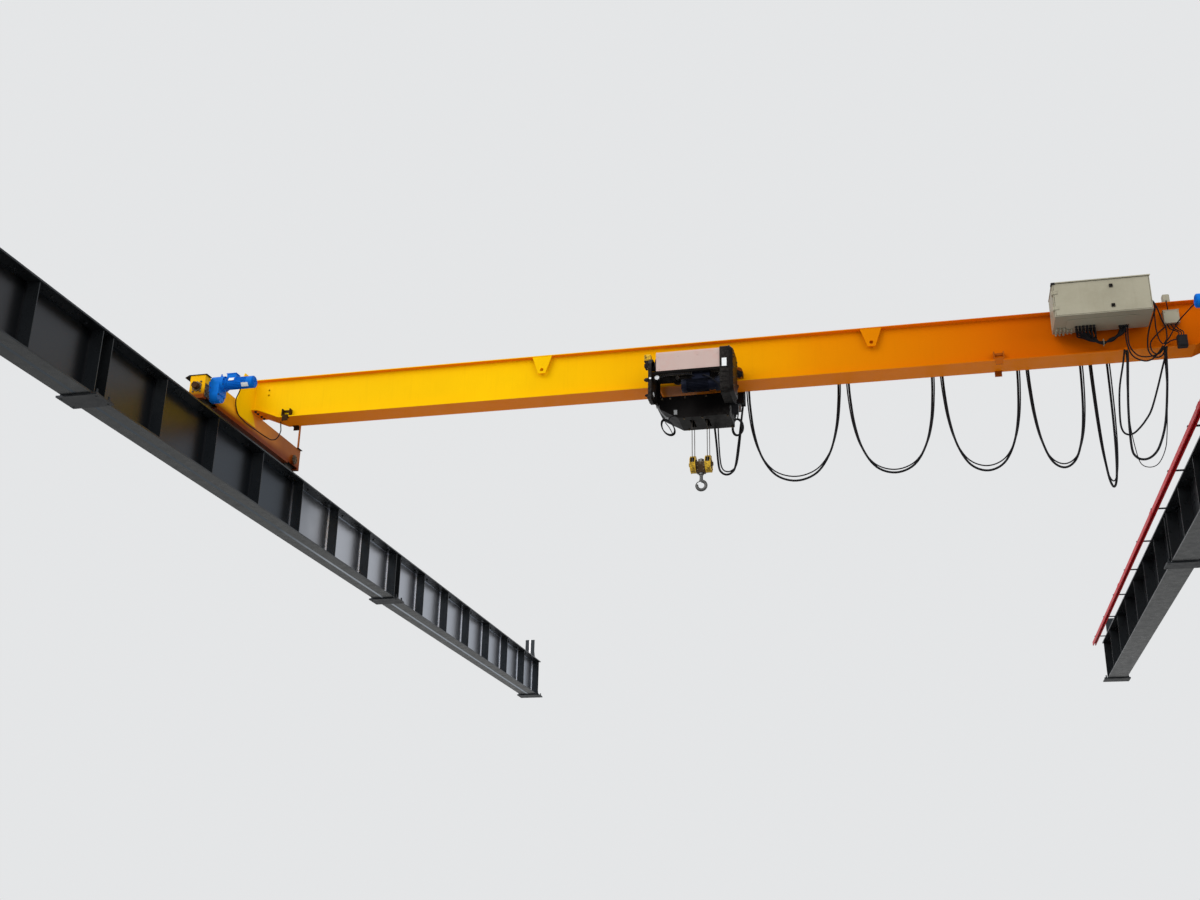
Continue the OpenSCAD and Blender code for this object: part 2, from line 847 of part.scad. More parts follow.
// Festoon track: a C rail, its hangers on the girder's top flange, and the fixed cable clamp
module festoon_track() {
    half = track_w / 2;
    slot = 8;
    arm_inset = 300;
    arm_step = (track_x1 - track_x0 - 2 * arm_inset) / 5;
    arm_xs = [for (i = [0:5]) track_x0 + arm_inset + i * arm_step];
    arm_z = girder_z1 - girder_top_t;
    color("#9a9da0") {
        plate_yz(track_x0, track_x1)
            difference() {
                translate([track_y - half, track_z0])
                    square(track_w);
                translate([track_y - half + track_t, track_z0 + track_t])
                    square(track_w - 2 * track_t);
                translate([track_y - slot, track_z0 - join])
                    square([2 * slot, track_t + 2 * join]);
            }
        for (x = arm_xs) {
            block([x - 25, flange_y1 - 60, arm_z - 10], [x + 25, track_y + 5, arm_z]);
            block([x - 25, track_y - 5, track_z0 + track_w - 1], [x + 25, track_y + 5, arm_z - 10 + join]);
        }
        // Fixed clamp, which holds the last loop
        block([clamp_x - carrier_l / 2, track_y - 20, carrier_z0], [clamp_x + carrier_l / 2, track_y + 20, track_z0 + 1]);
    }
}

// A cable trolley: rollers in the track, a neck through its slot and a saddle for the cable
module cable_carrier(x) {
    roller_z = track_z0 + track_t + seat_clear + roller_r;
    neck = 3;
    roller_y1 = track_w / 2 - track_t - 2;
    color("#26282b")
        translate([x, track_y, 0]) {
            block([-carrier_l / 2 + 4, -neck, carrier_z0 + 40], [carrier_l / 2 - 4, neck, roller_z + 5]);
            for (dx = [-45, 45])
                bar_y(dx, -roller_y1, roller_y1, roller_z, 4, 24);
            for (dx = [-45, 45], s = [-1, 1])
                bar_y(dx, s > 0 ? neck + 2 : -roller_y1, s > 0 ? roller_y1 : -neck - 2, roller_z, roller_r, 32);
            block([-carrier_l / 2, -20, carrier_z0], [carrier_l / 2, 20, carrier_z0 + 50]);
        }
}

module cable_carrier_0() {
    cable_carrier(carrier_xs[0]);
}

module cable_carrier_1() {
    cable_carrier(carrier_xs[1]);
}

module cable_carrier_2() {
    cable_carrier(carrier_xs[2]);
}

module cable_carrier_3() {
    cable_carrier(carrier_xs[3]);
}

module cable_carrier_4() {
    cable_carrier(carrier_xs[4]);
}

loop_ends = concat(carrier_xs, [clamp_x]);

function loop_route(i) =
    let (x0 = loop_ends[i] + cable_exit, x1 = loop_ends[i + 1] - cable_exit)
    [for (p = loop_shape) [x0 + p[0] * (x1 - x0), track_y, carrier_z0 - p[1] * loop_depths[i]]];

module festoon_cables() {
    color("#101113")
        for (i = [0:4])
            tube(loop_route(i), cable_r);
}

module hoist_cable() {
    color("#101113")
        translate([trolley_x, crane_y, 0])
            tube(hoist_loop, cable_r);
}

module bridge_cable() {
    color("#101113")
        translate([span, crane_y, 0])
            tube(bridge_loop, cable_r);
}

// Collector arm: a bracket on the right end carriage that carries a shoe in the conductor bar's slot
module collector_arm() {
    y = crane_y - 300;
    arm_x = bar_x - bar_w / 2 - 60;
    arm_z = carriage_z0 + 60;
    color("#3a3d41") {
        block([arm_x, y - 20, arm_z], [span - carriage_w / 2, y + 20, arm_z + 40]);
        block([arm_x, y - 20, bar_z0 - 60], [arm_x + 30, y + 20, arm_z + join]);
        block([arm_x + 30 - join, y - 20, bar_z0 - 60], [bar_x + 20, y + 20, bar_z0 - 40]);
        block([bar_x - 7, y - 60, bar_z0 - 41], [bar_x + 7, y + 60, bar_z0 + 35]);
    }
}

// Side plate of the trolley: a beam at the wheels and a deep plate below the girder, joined at both
// ends, with a long window between them that clears the girder's flange
module side_plate_outline() {
    slope_z = under_z0 + 150;
    top = run_z + 150;
    beam_z = run_z + 9;
    tip = 70;
    difference() {
        polygon([
            [hoist_x0, slope_z], [under_x0 + 250, under_z0], [under_x1, under_z0], [under_x1, beam_z],
            [hoist_x1 - 30, beam_z], [hoist_x1, beam_z + 20], [hoist_x1, beam_z + tip],
            [under_x1 + 20, top], [hoist_x0, top]
        ]);
        polygon([
            [hoist_x0 + 50, under_z1], [under_x1 - 45, under_z1], [under_x1 - 45, beam_z], [hoist_x0 + 50, beam_z]
        ]);
    }
}

module side_plate(y0) {
    difference() {
        plate_xz(y0, y0 + side_t)
            side_plate_outline();
        for (x = t_wheel_xs)
            bar_y(x, y0 - join, y0 + side_t + join, t_wheel_z, t_axle_r + run_clear);
    }
}

// End frame that holds the left end of the drum: a plate with a rim turned inwards
module hoist_end_plate() {
    z1 = drum_z + 40 + drum_shaft_r;
    rim = 40;
    y_end = side_y0 + side_t;
    difference() {
        plate_yz(hoist_x0, hoist_x0 + rim)
            polygon([
                [front_y, run_z - 400], [front_y + 180, run_z - 390], [front_y + 360, run_z - 300],
                [y_end, run_z - 270], [y_end, run_z + 148], [drum_y + 110, z1], [drum_y - 110, z1],
                [front_y, z1 - 90]
            ]);
        plate_yz(hoist_x0 + side_t, hoist_x0 + rim + join)
            polygon([
                [front_y + 12, run_z - 388], [front_y + 176, run_z - 378], [front_y + 356, run_z - 288],
                [y_end - 12, run_z - 258], [y_end - 12, run_z + 140], [drum_y + 107, z1 - 12],
                [drum_y - 105, z1 - 12], [front_y + 12, z1 - 96]
            ]);
        bar_x(hoist_x0 - join, hoist_x0 + side_t + join, drum_y, drum_z, drum_shaft_r + run_clear);
        bar_x(hoist_x0 - join, hoist_x0 + side_t + join, front_y + 115, run_z - 80, 16);
        for (p = [[front_y + 435, run_z + 68, 26], [front_y + 270, run_z - 230, 32]])
            bar_x(hoist_x0 - join, hoist_x0 + side_t + join, p[0], p[1], p[2]);
    }
}

module hoist_frame() {
    tie_r = 14;
    shaft_x0 = under_x0 + 100;
    color("#17181b") {
        side_plate(side_y0);
        side_plate(side_y1 - side_t);
        // Cross plates below the girder
        block([under_x0, side_y0 + join, under_z0 + 155], [under_x0 + side_t, side_y1 - join, girder_z0 - 25]);
        block([shaft_x0, side_y0 + join, under_z0 + 100], [shaft_x0 + side_t, side_y1 - join, under_z1 - 5]);
        block([under_x1 - side_t, side_y0 + join, under_z0], [under_x1, side_y1 - join, girder_z0 - 25]);
        // Bottom plate, which rises at its left end, with slots for the ropes
        difference() {
            plate_xz(side_y0 + join, side_y1 - join)
                polygon([
                    [under_x0, under_z0 + 144], [under_x0 + 250, under_z0], [under_x1 - join, under_z0],
                    [under_x1 - join, under_z0 + 8], [under_x0 + 252, under_z0 + 8], [under_x0, under_z0 + 157]
                ]);
            for (x = sheave_xs)
                block([x - 25, crane_y - 115, under_z0 - join], [x + 25, crane_y + 115, under_z0 + 10]);
        }
        // Shaft and fixed return pulleys
        bar_x(shaft_x0 + join, under_x1 - join, crane_y, pulley_z, 24);
        for (x = sheave_xs)
            bar_x(x - sheave_w / 2, x + sheave_w / 2, crane_y, pulley_z, pulley_r);
        hoist_end_plate();
        // Tie bars between the end plate and the gear case
        for (p = [[front_y + 35, run_z - 58], [side_y0 - 30, run_z + 120]])
            bar_x(hoist_x0 + join, gearbox_x0, p[0], p[1], tie_r);
        // Bumpers that meet the stops on the girder
        for (x = [hoist_x0, hoist_x1 - side_t]) {
            block([x, side_y0 + side_t - join, run_z + 30], [x + side_t, web_y0 - 25, run_z + 90]);
            block([x, web_y1 + 25, run_z + 30], [x + side_t, side_y1 - side_t + join, run_z + 90]);
        }
    }
}

// Gear case: a tall housing with rounded corners that narrows towards its outer face
module hoist_gearbox() {
    z0 = run_z - 359;
    z1 = run_z + 226;
    y1 = crane_y - 290;
    r = 60;
    color("#1b1d20") {
        hull() {
            for (y = [front_y + r, y1 - r], z = [z0 + r, z1 - r])
                bar_x(gearbox_x0, gearbox_x1 - 40, y, z, r, 32);
            for (y = [front_y + r + 20, y1 - r - 20], z = [z0 + r + 30, z1 - r - 30])
                bar_x(gearbox_x1 - join, gearbox_x1, y, z, r, 32);
        }
        // Flange that bolts to the side plate
        block([gearbox_x0, y1 - 40, run_z + 20], [gearbox_x1 - 40, side_y0, run_z + 140]);
    }
}

// Cover over the front and top of the drum
module drum_cover() {
    x0 = hoist_x0 + 90;
    y1 = drum_y + 110;
    z0 = run_z - 38;
    z1 = run_z + 211;
    t = 4;
    r = 40;
    color("#d9d2cc")
        plate_yz(x0, gearbox_x0)
            difference() {
                union() {
                    translate([front_y + 18 + r, z0])
                        square([y1 - front_y - 18 - r, z1 - z0]);
                    translate([front_y + 18, z0])
                        square([r + join, z1 - z0 - r]);
                    translate([front_y + 18 + r, z1 - r])
                        circle(r = r, $fn = round_n);
                }
                translate([front_y + 18 + r, z0 - join])
                    square([y1 - front_y - 18 - r + join, z1 - z0 - t + join]);
                translate([front_y + 18 + t, z0 - join])
                    square([r, z1 - z0 - r + join]);
                translate([front_y + 18 + r, z1 - r])
                    circle(r = r - t, $fn = round_n);
            }
}

module hoist_motor() {
    x0 = gearbox_x0 - motor_l;
    color("#14213a") {
        bar_x(x0 + 12, gearbox_x0, motor_y, motor_z, motor_r - 14);
        bar_x(x0, x0 + 60, motor_y, motor_z, motor_r);
        for (i = [0:motor_fins - 1])
            translate([x0 + 50, motor_y, motor_z])
                rotate([i * 360 / motor_fins, 0, 0])
                    translate([0, -2, 0])
                        cube([260, 4, motor_r]);
        bar_x(gearbox_x0 - 60, gearbox_x0, motor_y, motor_z, motor_r + 5);
        // Terminal box
        block(
            [x0 + 125, motor_y - 55, motor_z + motor_r - 22],
            [x0 + 330, motor_y + 55, motor_z + motor_r + 72]
        );
    }
}

electrics_l0 = 110;
electrics_l1 = 470;

// Electrical box on the far side of the trolley, with its lid
module hoist_electrics() {
    x0 = trolley_x - electrics_l0;
    x1 = trolley_x + electrics_l1;
    y0 = side_y1 + axle_head + move_clear;
    color("#8d9092") {
        for (x = [x0 + 30, x1 - 80])
            block([x, side_y1, run_z + 20], [x + 40, y0 + join, run_z + 130]);
        block([x0, y0, run_z - 119], [x1, y0 + 90, run_z + 260]);
        block([x0 - 8, y0 + 90 - join, run_z - 127], [x1 + 8, y0 + 105, run_z + 268]);
    }
}

// Trolley drive on the far side, over the left wheel's axle
module trolley_drive() {
    y0 = side_y1;
    color("#17181b")
        difference() {
            union() {
                bar_y(t_wheel_xs[0], y0, y0 + 80, t_wheel_z, 72);
                block([t_wheel_xs[0] - 60, y0, t_wheel_z], [t_wheel_xs[0] + 60, y0 + 80, t_wheel_z + 190]);
                bar_x(t_wheel_xs[0] - 260, t_wheel_xs[0] - 60 + join, y0 + 60, t_wheel_z + 130, 55);
            }
            bar_y(t_wheel_xs[0], y0 - join, y0 + 50, t_wheel_z, t_axle_r + 12);
        }
}

// Arm that tows the first cable trolley, with a fork round it
module tow_arm() {
    x = carrier_xs[0];
    fork = carrier_l / 2 + move_clear;
    z0 = run_z + 268;
    color("#26282b") {
        block([x - fork - 8, side_y1 + 60, z0], [x - fork, track_y + 15, z0 + 35]);
        block([x + fork, side_y1 + 60, z0], [x + fork + 8, track_y + 15, z0 + 35]);
        block([x - fork - 8, side_y1 + 60, z0], [x + fork + 8, side_y1 + 100, z0 + 35]);
    }
}

// Drum with rope grooves, turning about X
module rope_drum() {
    x0 = hoist_x0 + 60;
    x1 = gearbox_x0 - 20;
    n = floor((x1 - x0 - 80) / groove_pitch);
    groove = [
        for (i = [0:n - 1])
            let (c = 40 + (i + 0.5) * groove_pitch)
            each [[drum_r, c - rope_r - 1], [drum_r - rope_r, c - 2], [drum_r - rope_r, c + 2], [drum_r, c + rope_r + 1]]
    ];
    color("#3b3d40")
        translate([x0, drum_y, drum_z])
            rotate([0, 90, 0])
                rotate_extrude($fn = 64)
                    polygon(concat(
                        [[0, -60 - 10], [drum_shaft_r, -60 - 10], [drum_shaft_r, -join], [drum_shaft_r + 20, 0],
                         [drum_r + 8, 0], [drum_r + 8, 12], [drum_r, 12]],
                        groove,
                        [[drum_r, x1 - x0 - 12], [drum_r + 8, x1 - x0 - 12], [drum_r + 8, x1 - x0],
                         [drum_shaft_r, x1 - x0], [drum_shaft_r, x1 - x0 + 20 - seat_clear],
                         [0, x1 - x0 + 20 - seat_clear]]
                    ));
}

// A trolley wheel, with its flange outside the girder's flange and its axle in the side plate
module trolley_wheel(x, side) {
    r = t_wheel_d / 2;
    y_in = side_in - seat_clear;
    y_flange = girder_flange_w / 2 + move_clear;
    y_tread = y_flange + t_flange_t;
    y_end = y_flange - t_tread_w;
    y_tip = side_in + side_t + axle_head;
    color("#4d4f52")
        translate([x, crane_y, t_wheel_z])
            rotate([side * -90, 0, 0])
                rotate_extrude($fn = 60)
                    polygon([
                        [0, y_end], [r - 3, y_end], [r, y_end + 3], [r, y_flange], [r + t_flange_h, y_flange + 3],
                        [r + t_flange_h, y_tread], [26, y_tread], [26, y_in], [t_axle_r, y_in],
                        [t_axle_r, side_in + side_t + seat_clear], [t_axle_r + 8, side_in + side_t + seat_clear],
                        [t_axle_r + 8, y_tip], [0, y_tip]
                    ]);
}

module trolley_wheel_1() {
    trolley_wheel(t_wheel_xs[0], -1);
}

module trolley_wheel_2() {
    trolley_wheel(t_wheel_xs[1], -1);
}

module trolley_wheel_3() {
    trolley_wheel(t_wheel_xs[0], 1);
}

module trolley_wheel_4() {
    trolley_wheel(t_wheel_xs[1], 1);
}

// Four straight falls of rope between the return pulleys and the sheaves
module rope_falls() {
    color("#6d6b66")
        for (x = sheave_xs, s = [-1, 1])
            bar_z(x, crane_y + s * fall_off, block_z, pulley_z, rope_r, 16);
}

// Hook block: an axle through both sheaves, and the crosshead that the hook turns in
module hook_block() {
    x0 = sheave_xs[0] + sheave_cover_w / 2;
    x1 = sheave_xs[1] - sheave_cover_w / 2;
    color("#2a2a2a")
        difference() {
            union() {
                bar_x(sheave_xs[0] - 36, sheave_xs[1] + 36, crane_y, block_z, block_axle_r);
                for (x = [x0, x1 - 12])
                    bar_x(x, x + 12, crane_y, block_z, 62);
                block([x0 + 12 - join, crane_y - 42, crosshead_z0], [x1 - 12 + join, crane_y + 42, block_z + 28]);
            }
            bar_z(block_x, crane_y, crosshead_z0 - join, block_z + 40, shank_r + run_clear);
        }
}

// Yellow covers round the two sheaves, slotted where the rope comes in
module sheave_covers() {
    outer = sheave_cover_r;
    wide = sheave_cover_w / 2;
    t = 4;
    color("#e9c21c")
        for (x = sheave_xs)
            difference() {
                bar_x(x - wide, x + wide, crane_y, block_z, outer);
                bar_x(x - wide + t, x + wide - t, crane_y, block_z, outer - t);
                bar_x(x - wide - join, x + wide + join, crane_y, block_z, block_axle_r);
                for (s = [-1, 1])
                    translate([x, crane_y + s * fall_off, block_z])
                        block([-wide + t, -20, 0], [wide - t, 20, outer]);
            }
}

// The two grooved sheaves
module hook_sheaves() {
    half = sheave_w / 2;
    bore = block_axle_r + run_clear;
    color("#55585c")
        for (x = sheave_xs)
            translate([x, crane_y, block_z])
                rotate([0, 90, 0])
                    rotate_extrude($fn = 64)
                        polygon([
                            [bore, -half - 4], [bore + 14, -half - 4], [bore + 18, -5], [sheave_r - 20, -5],
                            [sheave_r - 14, -half], [sheave_r + 8, -half], [sheave_r + 8, -half + 3],
                            [sheave_r, -3], [sheave_r, 3], [sheave_r + 8, half - 3], [sheave_r + 8, half],
                            [sheave_r - 14, half], [sheave_r - 20, 5], [bore + 18, 5], [bore + 14, half + 4],
                            [bore, half + 4]
                        ]);
}

// Hook: a shank with its nut, a neck and a bowl that opens towards -X
module hook() {
    neck_z = hook_z + hook_bowl_r;
    color("#7d8287") {
        bar_z(block_x, crane_y, neck_z, block_z + 45, shank_r, 48);
        bar_z(block_x, crane_y, block_z + 28 + seat_clear, block_z + 62, shank_r + 14, 48);
        bar_z(block_x, crane_y, crosshead_z0 - 22, crosshead_z0 - seat_clear, shank_r + 12, 48);
        translate([block_x, crane_y, hook_z])
            rotate([90, 0, 0])
                rotate([0, 0, -180])
                    rotate_extrude(angle = 270, $fn = 64)
                        translate([hook_bowl_r, 0])
                            circle(r = hook_r, $fn = 32);
        translate([block_x - hook_bowl_r, crane_y, hook_z])
            sphere(r = hook_r, $fn = 32);
    }
}

runway_beams_left();
runway_beams_right();
crane_rail_left();
crane_rail_right();
end_stops();
bearing_plates();
conductor_bar();
conductor_hangers();
bridge_girder();
girder_brackets();
trolley_stops();
end_carriage_left();
end_carriage_right();
carriage_buffers();
travel_gearboxes();
travel_motors();
control_cabinet();
cabinet_door();
festoon_track();
collector_arm();
bridge_wheel_1();
bridge_wheel_2();
bridge_wheel_3();
bridge_wheel_4();
hoist_frame();
hoist_gearbox();
drum_cover();
hoist_motor();
hoist_electrics();
trolley_drive();
tow_arm();
rope_drum();
trolley_wheel_1();
trolley_wheel_2();
trolley_wheel_3();
trolley_wheel_4();
rope_falls();
hook_block();
sheave_covers();
hook_sheaves();
hook();
cable_carrier_0();
cable_carrier_1();
cable_carrier_2();
cable_carrier_3();
cable_carrier_4();
festoon_cables();
hoist_cable();
bridge_cable();
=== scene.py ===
"""Looks of an overhead bridge crane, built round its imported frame. All sizes are metres."""
import json
import math
import random

import bmesh
import bpy
from mathutils import Matrix, Vector


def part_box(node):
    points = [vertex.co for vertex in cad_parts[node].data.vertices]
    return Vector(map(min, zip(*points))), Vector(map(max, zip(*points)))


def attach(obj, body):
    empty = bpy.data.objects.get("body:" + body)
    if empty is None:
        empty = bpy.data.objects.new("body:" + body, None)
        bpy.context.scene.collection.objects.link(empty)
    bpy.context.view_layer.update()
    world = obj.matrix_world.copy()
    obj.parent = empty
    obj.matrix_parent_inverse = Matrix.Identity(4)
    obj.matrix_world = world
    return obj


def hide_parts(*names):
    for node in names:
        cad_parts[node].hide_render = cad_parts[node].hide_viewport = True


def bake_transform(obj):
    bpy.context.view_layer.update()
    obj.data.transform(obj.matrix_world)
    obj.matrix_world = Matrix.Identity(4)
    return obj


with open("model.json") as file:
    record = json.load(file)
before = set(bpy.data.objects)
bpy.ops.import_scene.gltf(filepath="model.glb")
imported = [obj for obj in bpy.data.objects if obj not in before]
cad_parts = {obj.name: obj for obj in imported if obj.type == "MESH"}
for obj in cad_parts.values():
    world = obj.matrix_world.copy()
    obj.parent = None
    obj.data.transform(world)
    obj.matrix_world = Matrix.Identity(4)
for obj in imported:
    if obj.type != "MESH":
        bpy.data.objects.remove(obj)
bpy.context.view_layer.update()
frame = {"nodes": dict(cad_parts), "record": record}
nodes = frame["nodes"]

# Camera, as solved from the photograph's straight edges
CAMERA_AT = (8.36, -11.40, -5.42)
CAMERA_YAW = 13.82
CAMERA_PITCH = 20.88
CAMERA_ROLL = 1.05
CAMERA_LENS = 40.58
SENSOR_W = 36.0
FLOOR_Z = -7.0
BUMP_DEPTH = 0.002

# Main sizes of the crane, as the frame has them
SPAN = 12.0
BEAM_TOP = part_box("runway_beams_left")[1][2]
GIRDER_LOW, GIRDER_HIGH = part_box("bridge_girder")
CRANE_Y = (GIRDER_LOW[1] + GIRDER_HIGH[1]) / 2
WEB_OUT = 0.1


def rgb(r, g, b):
    """A linear colour from the 0 to 255 values that a screen shows."""
    def one(c):
        c /= 255
        return c / 12.92 if c <= 0.04045 else ((c + 0.055) / 1.055) ** 2.4
    return (one(r), one(g), one(b), 1.0)


# Materials

class Nodes:
    """A short way to add linked nodes to one material."""

    def __init__(self, name):
        self.material = bpy.data.materials.new(name)
        self.material.use_nodes = True
        self.tree = self.material.node_tree
        self.shader = self.tree.nodes["Principled BSDF"]
        self.coordinates = self.tree.nodes.new("ShaderNodeTexCoord").outputs["Object"]

    def put(self, socket, value):
        if hasattr(value, "is_output"):
            self.tree.links.new(value, socket)
        else:
            socket.default_value = value

    def node(self, kind, values):
        """A new node, with a value or a link for each of its inputs that is named."""
        n = self.tree.nodes.new("ShaderNode" + kind)
        for key, value in values.items():
            self.put(n.inputs[key], value)
        return n

    def noise(self, scale, detail=4.0, rough=0.6, stretch=None):
        place = self.coordinates
        if stretch:
            place = self.node("Mapping", {"Scale": stretch, "Vector": place}).outputs["Vector"]
        values = {"Scale": scale, "Detail": detail, "Roughness": rough, "Vector": place}
        return self.node("TexNoise", values).outputs["Fac"]

    def ramp(self, value, low, high, out_low=0.0, out_high=1.0):
        values = {"Value": value, "From Min": low, "From Max": high, "To Min": out_low, "To Max": out_high}
        return self.node("MapRange", values).outputs["Result"]

    def mix(self, factor, a, b):
        n = self.tree.nodes.new("ShaderNodeMix")
        n.data_type = "RGBA"
        self.put(n.inputs["Factor"], factor)
        self.put(n.inputs[6], a)
        self.put(n.inputs[7], b)
        return n.outputs[2]

    def maths(self, operation, a, b):
        n = self.node("Math", {0: a, 1: b})
        n.operation = operation
        return n.outputs[0]

    def axis(self, index):
        return self.node("SeparateXYZ", {0: self.coordinates}).outputs[index]

    def facing(self, index):
        normal = self.tree.nodes.new("ShaderNodeNewGeometry").outputs["True Normal"]
        return self.node("SeparateXYZ", {0: normal}).outputs[index]

    def pointiness(self):
        return self.tree.nodes.new("ShaderNodeNewGeometry").outputs["Pointiness"]

    def bump(self, height, strength):
        n = self.node("Bump", {"Strength": strength, "Distance": BUMP_DEPTH, "Height": height})
        self.put(self.shader.inputs["Normal"], n.outputs["Normal"])


MATERIALS = {}


def scaled(colour, k):
    return tuple(min(1.0, c * k) for c in colour[:3]) + (1.0,)


def surface(name, colour, rough, metal=0.0, vary=0.2, vary_scale=2.5, dirt=0.25, dirt_colour=None,
            dirt_scale=1.2, streaks=0.0, grain=90.0, grain_depth=0.03, wear=None, wear_edge=0.56,
            spec=0.25, bands=(), under=None, mirror=None):
    """Makes one finish: a varied base colour, painted shade from bands and under, dust, grime, streaks down
    the sides, worn edges and fine grain.

    bands are (axis, from, to, colour), each a slow change of colour along one axis of the crane; on the
    girder and the carriages they are painted light and shade.
    under is the colour of faces that look down, a painted shade."""
    m = Nodes(name)

    def varied(c):
        return m.mix(m.ramp(m.noise(vary_scale), 0.3, 0.7), scaled(c, 1 - vary), scaled(c, 1 + vary))

    base = varied(colour)
    # Bands mix another colour in along one axis; the girder's and the carriages' bands are painted light and
    # shade.
    for axis, low, high, other in bands:
        shade = varied(other)
        base = m.mix(m.ramp(m.axis(axis), low, high), base, shade)
    # Painted shade: faces that look down take the under colour.
    if under:
        base = m.mix(m.ramp(m.facing(2), -0.5, -0.8), base, under)
    if dirt:
        grime = dirt_colour or scaled(colour, 0.25)
        base = m.mix(m.ramp(m.noise(dirt_scale, 8.0, 0.7), 0.5, 0.78, 0.0, dirt), base, grime)
    if streaks:
        run = m.noise(6.0, 5.0, 0.6, stretch=(4.0, 4.0, 0.25))
        base = m.mix(m.ramp(run, 0.52, 0.8, 0.0, streaks), base, dirt_colour or scaled(colour, 0.4))
    roughness = m.ramp(m.noise(9.0, 6.0), 0.3, 0.7, max(0.03, rough - 0.06), min(1.0, rough + 0.08))
    metallic = metal
    if mirror:
        # The web of the runway beams is smoother than their flanges and shines more
        base, roughness, metallic = mirror(m, base, roughness)
    if wear:
        edge = m.maths("MULTIPLY", m.ramp(m.pointiness(), wear_edge, wear_edge + 0.04),
                       m.ramp(m.noise(30.0, 8.0, 0.8), 0.45, 0.6))
        base = m.mix(edge, base, wear)
    m.put(m.shader.inputs["Base Color"], base)
    m.put(m.shader.inputs["Roughness"], roughness)
    m.put(m.shader.inputs["Metallic"], metallic)
    m.shader.inputs["Specular IOR Level"].default_value = spec
    m.shader.inputs["Specular Tint"].default_value = scaled(colour, 1.0 / max(colour[:3]))
    m.bump(m.noise(grain, 3.0), grain_depth)
    MATERIALS[name] = m.material


def glossy_web(m, base, roughness):
    """A shine on the left runway's webs that grows along the runway."""
    web = m.maths("LESS_THAN", m.maths("ABSOLUTE", m.axis(0), 0.0), 0.02)
    place = m.maths("ADD", m.axis(1), m.ramp(m.noise(0.5, 3.0), 0.3, 0.7, -0.5, 0.5))
    shine = m.ramp(place, 4.5, 6.0, 0.06, 0.55)
    gloss = m.mix(shine, (0, 0, 0, 1), (1, 1, 1.04, 1))
    return (m.mix(web, base, gloss), m.mix(web, roughness, (0.3, 0.3, 0.3, 1)), web)


BARE_STEEL = rgb(150, 148, 144)
DUST = rgb(120, 112, 100)
YELLOW = rgb(252, 200, 4)
# Amber and orange are painted shade: the girder's yellow turns to them towards its darker right end.
GIRDER_SHADE_AMBER = rgb(232, 144, 2)
GIRDER_SHADE_ORANGE = rgb(204, 96, 3)

surface("plate_white", rgb(236, 240, 243), 0.4, vary=0.02, dirt=0.15, dirt_colour=rgb(170, 168, 160))
surface("runway_paint", rgb(24, 26, 28), 0.3, vary=0.25, dirt=0.35, dirt_colour=rgb(52, 54, 54),
        dirt_scale=0.9, streaks=0.1, grain=40, grain_depth=0.02, spec=0.35, mirror=glossy_web)
surface("rail_steel", rgb(92, 76, 64), 0.55, metal=0.6, vary=0.3, dirt=0.6, dirt_colour=rgb(80, 48, 30),
        dirt_scale=6, wear=BARE_STEEL)
surface("plate_steel", rgb(38, 40, 43), 0.45, dirt=0.4, dirt_colour=rgb(74, 72, 68))
surface("conductor_red", rgb(205, 22, 34), 0.4, vary=0.1, dirt=0.2, dirt_colour=rgb(120, 18, 26))
surface("hanger_steel", rgb(48, 48, 52), 0.4, metal=0.3, dirt=0.3, dirt_colour=DUST)
# Painted light and shade: the girder's bands go from yellow at the lit left end to amber and orange at the
# darker right end, and under paints shade on faces that look down.
surface("girder_yellow", YELLOW, 0.42, vary=0.03, vary_scale=0.7, dirt=0.06, spec=0.12,
        dirt_colour=rgb(176, 104, 10), streaks=0.08, grain=60, grain_depth=0.02,
        bands=((0, 3.6, 7.4, GIRDER_SHADE_AMBER), (0, 7.0, 9.6, GIRDER_SHADE_ORANGE)), under=rgb(255, 138, 4))
# Painted shade: the carriages' bands darken them towards the far side along y, redden the right-hand carriage
# along x and darken their bottoms along z.
surface("carriage_orange", rgb(255, 190, 12), 0.45, vary=0.05, dirt=0.14, spec=0.12,
        dirt_colour=rgb(150, 84, 18), dirt_scale=2.2, streaks=0.1,
        bands=((1, 2.3, 3.3, rgb(250, 158, 40)), (1, 3.2, 4.2, rgb(160, 90, 40)),
               (0, 6.0, 11.0, rgb(206, 84, 22)), (2, 1.05, 0.95, rgb(122, 50, 12))))
surface("buffer_rubber", rgb(66, 44, 28), 0.75, dirt=0.3, dirt_colour=rgb(96, 76, 52))
surface("drive_blue", rgb(18, 114, 214), 0.42, vary=0.08, vary_scale=12, dirt=0.2, spec=0.15,
        dirt_colour=rgb(12, 56, 120), dirt_scale=7)
surface("cabinet_grey", rgb(164, 160, 142), 0.45, vary=0.04, dirt=0.25, dirt_colour=rgb(112, 104, 84),
        dirt_scale=2.4, streaks=0.12, grain=200)
surface("track_zinc", rgb(150, 152, 154), 0.4, metal=0.7, vary=0.12, vary_scale=12, dirt=0.2)
surface("collector_dark", rgb(36, 36, 38), 0.5, dirt=0.3, dirt_colour=DUST)
surface("wheel_steel", rgb(84, 80, 76), 0.4, metal=0.8, dirt=0.5, dirt_colour=rgb(40, 30, 24), dirt_scale=9,
        wear=BARE_STEEL)
surface("hoist_black", rgb(13, 12, 12), 0.42, vary=0.2, vary_scale=6, dirt=0.2, spec=0.08,
        dirt_colour=rgb(34, 30, 27), dirt_scale=5, wear=rgb(52, 50, 48))
surface("cover_white", rgb(198, 176, 170), 0.45, vary=0.03, dirt=0.7, spec=0.15,
        dirt_colour=rgb(206, 148, 138), dirt_scale=2.6, streaks=0.1)
surface("motor_blue_black", rgb(12, 14, 22), 0.4, vary=0.2, vary_scale=14, dirt=0.2, spec=0.12,
        dirt_colour=rgb(46, 46, 50), dirt_scale=8, wear=rgb(60, 64, 72))
surface("electrics_dark", rgb(26, 26, 28), 0.42, vary=0.1, dirt=0.2, spec=0.12, dirt_colour=rgb(70, 68, 64))
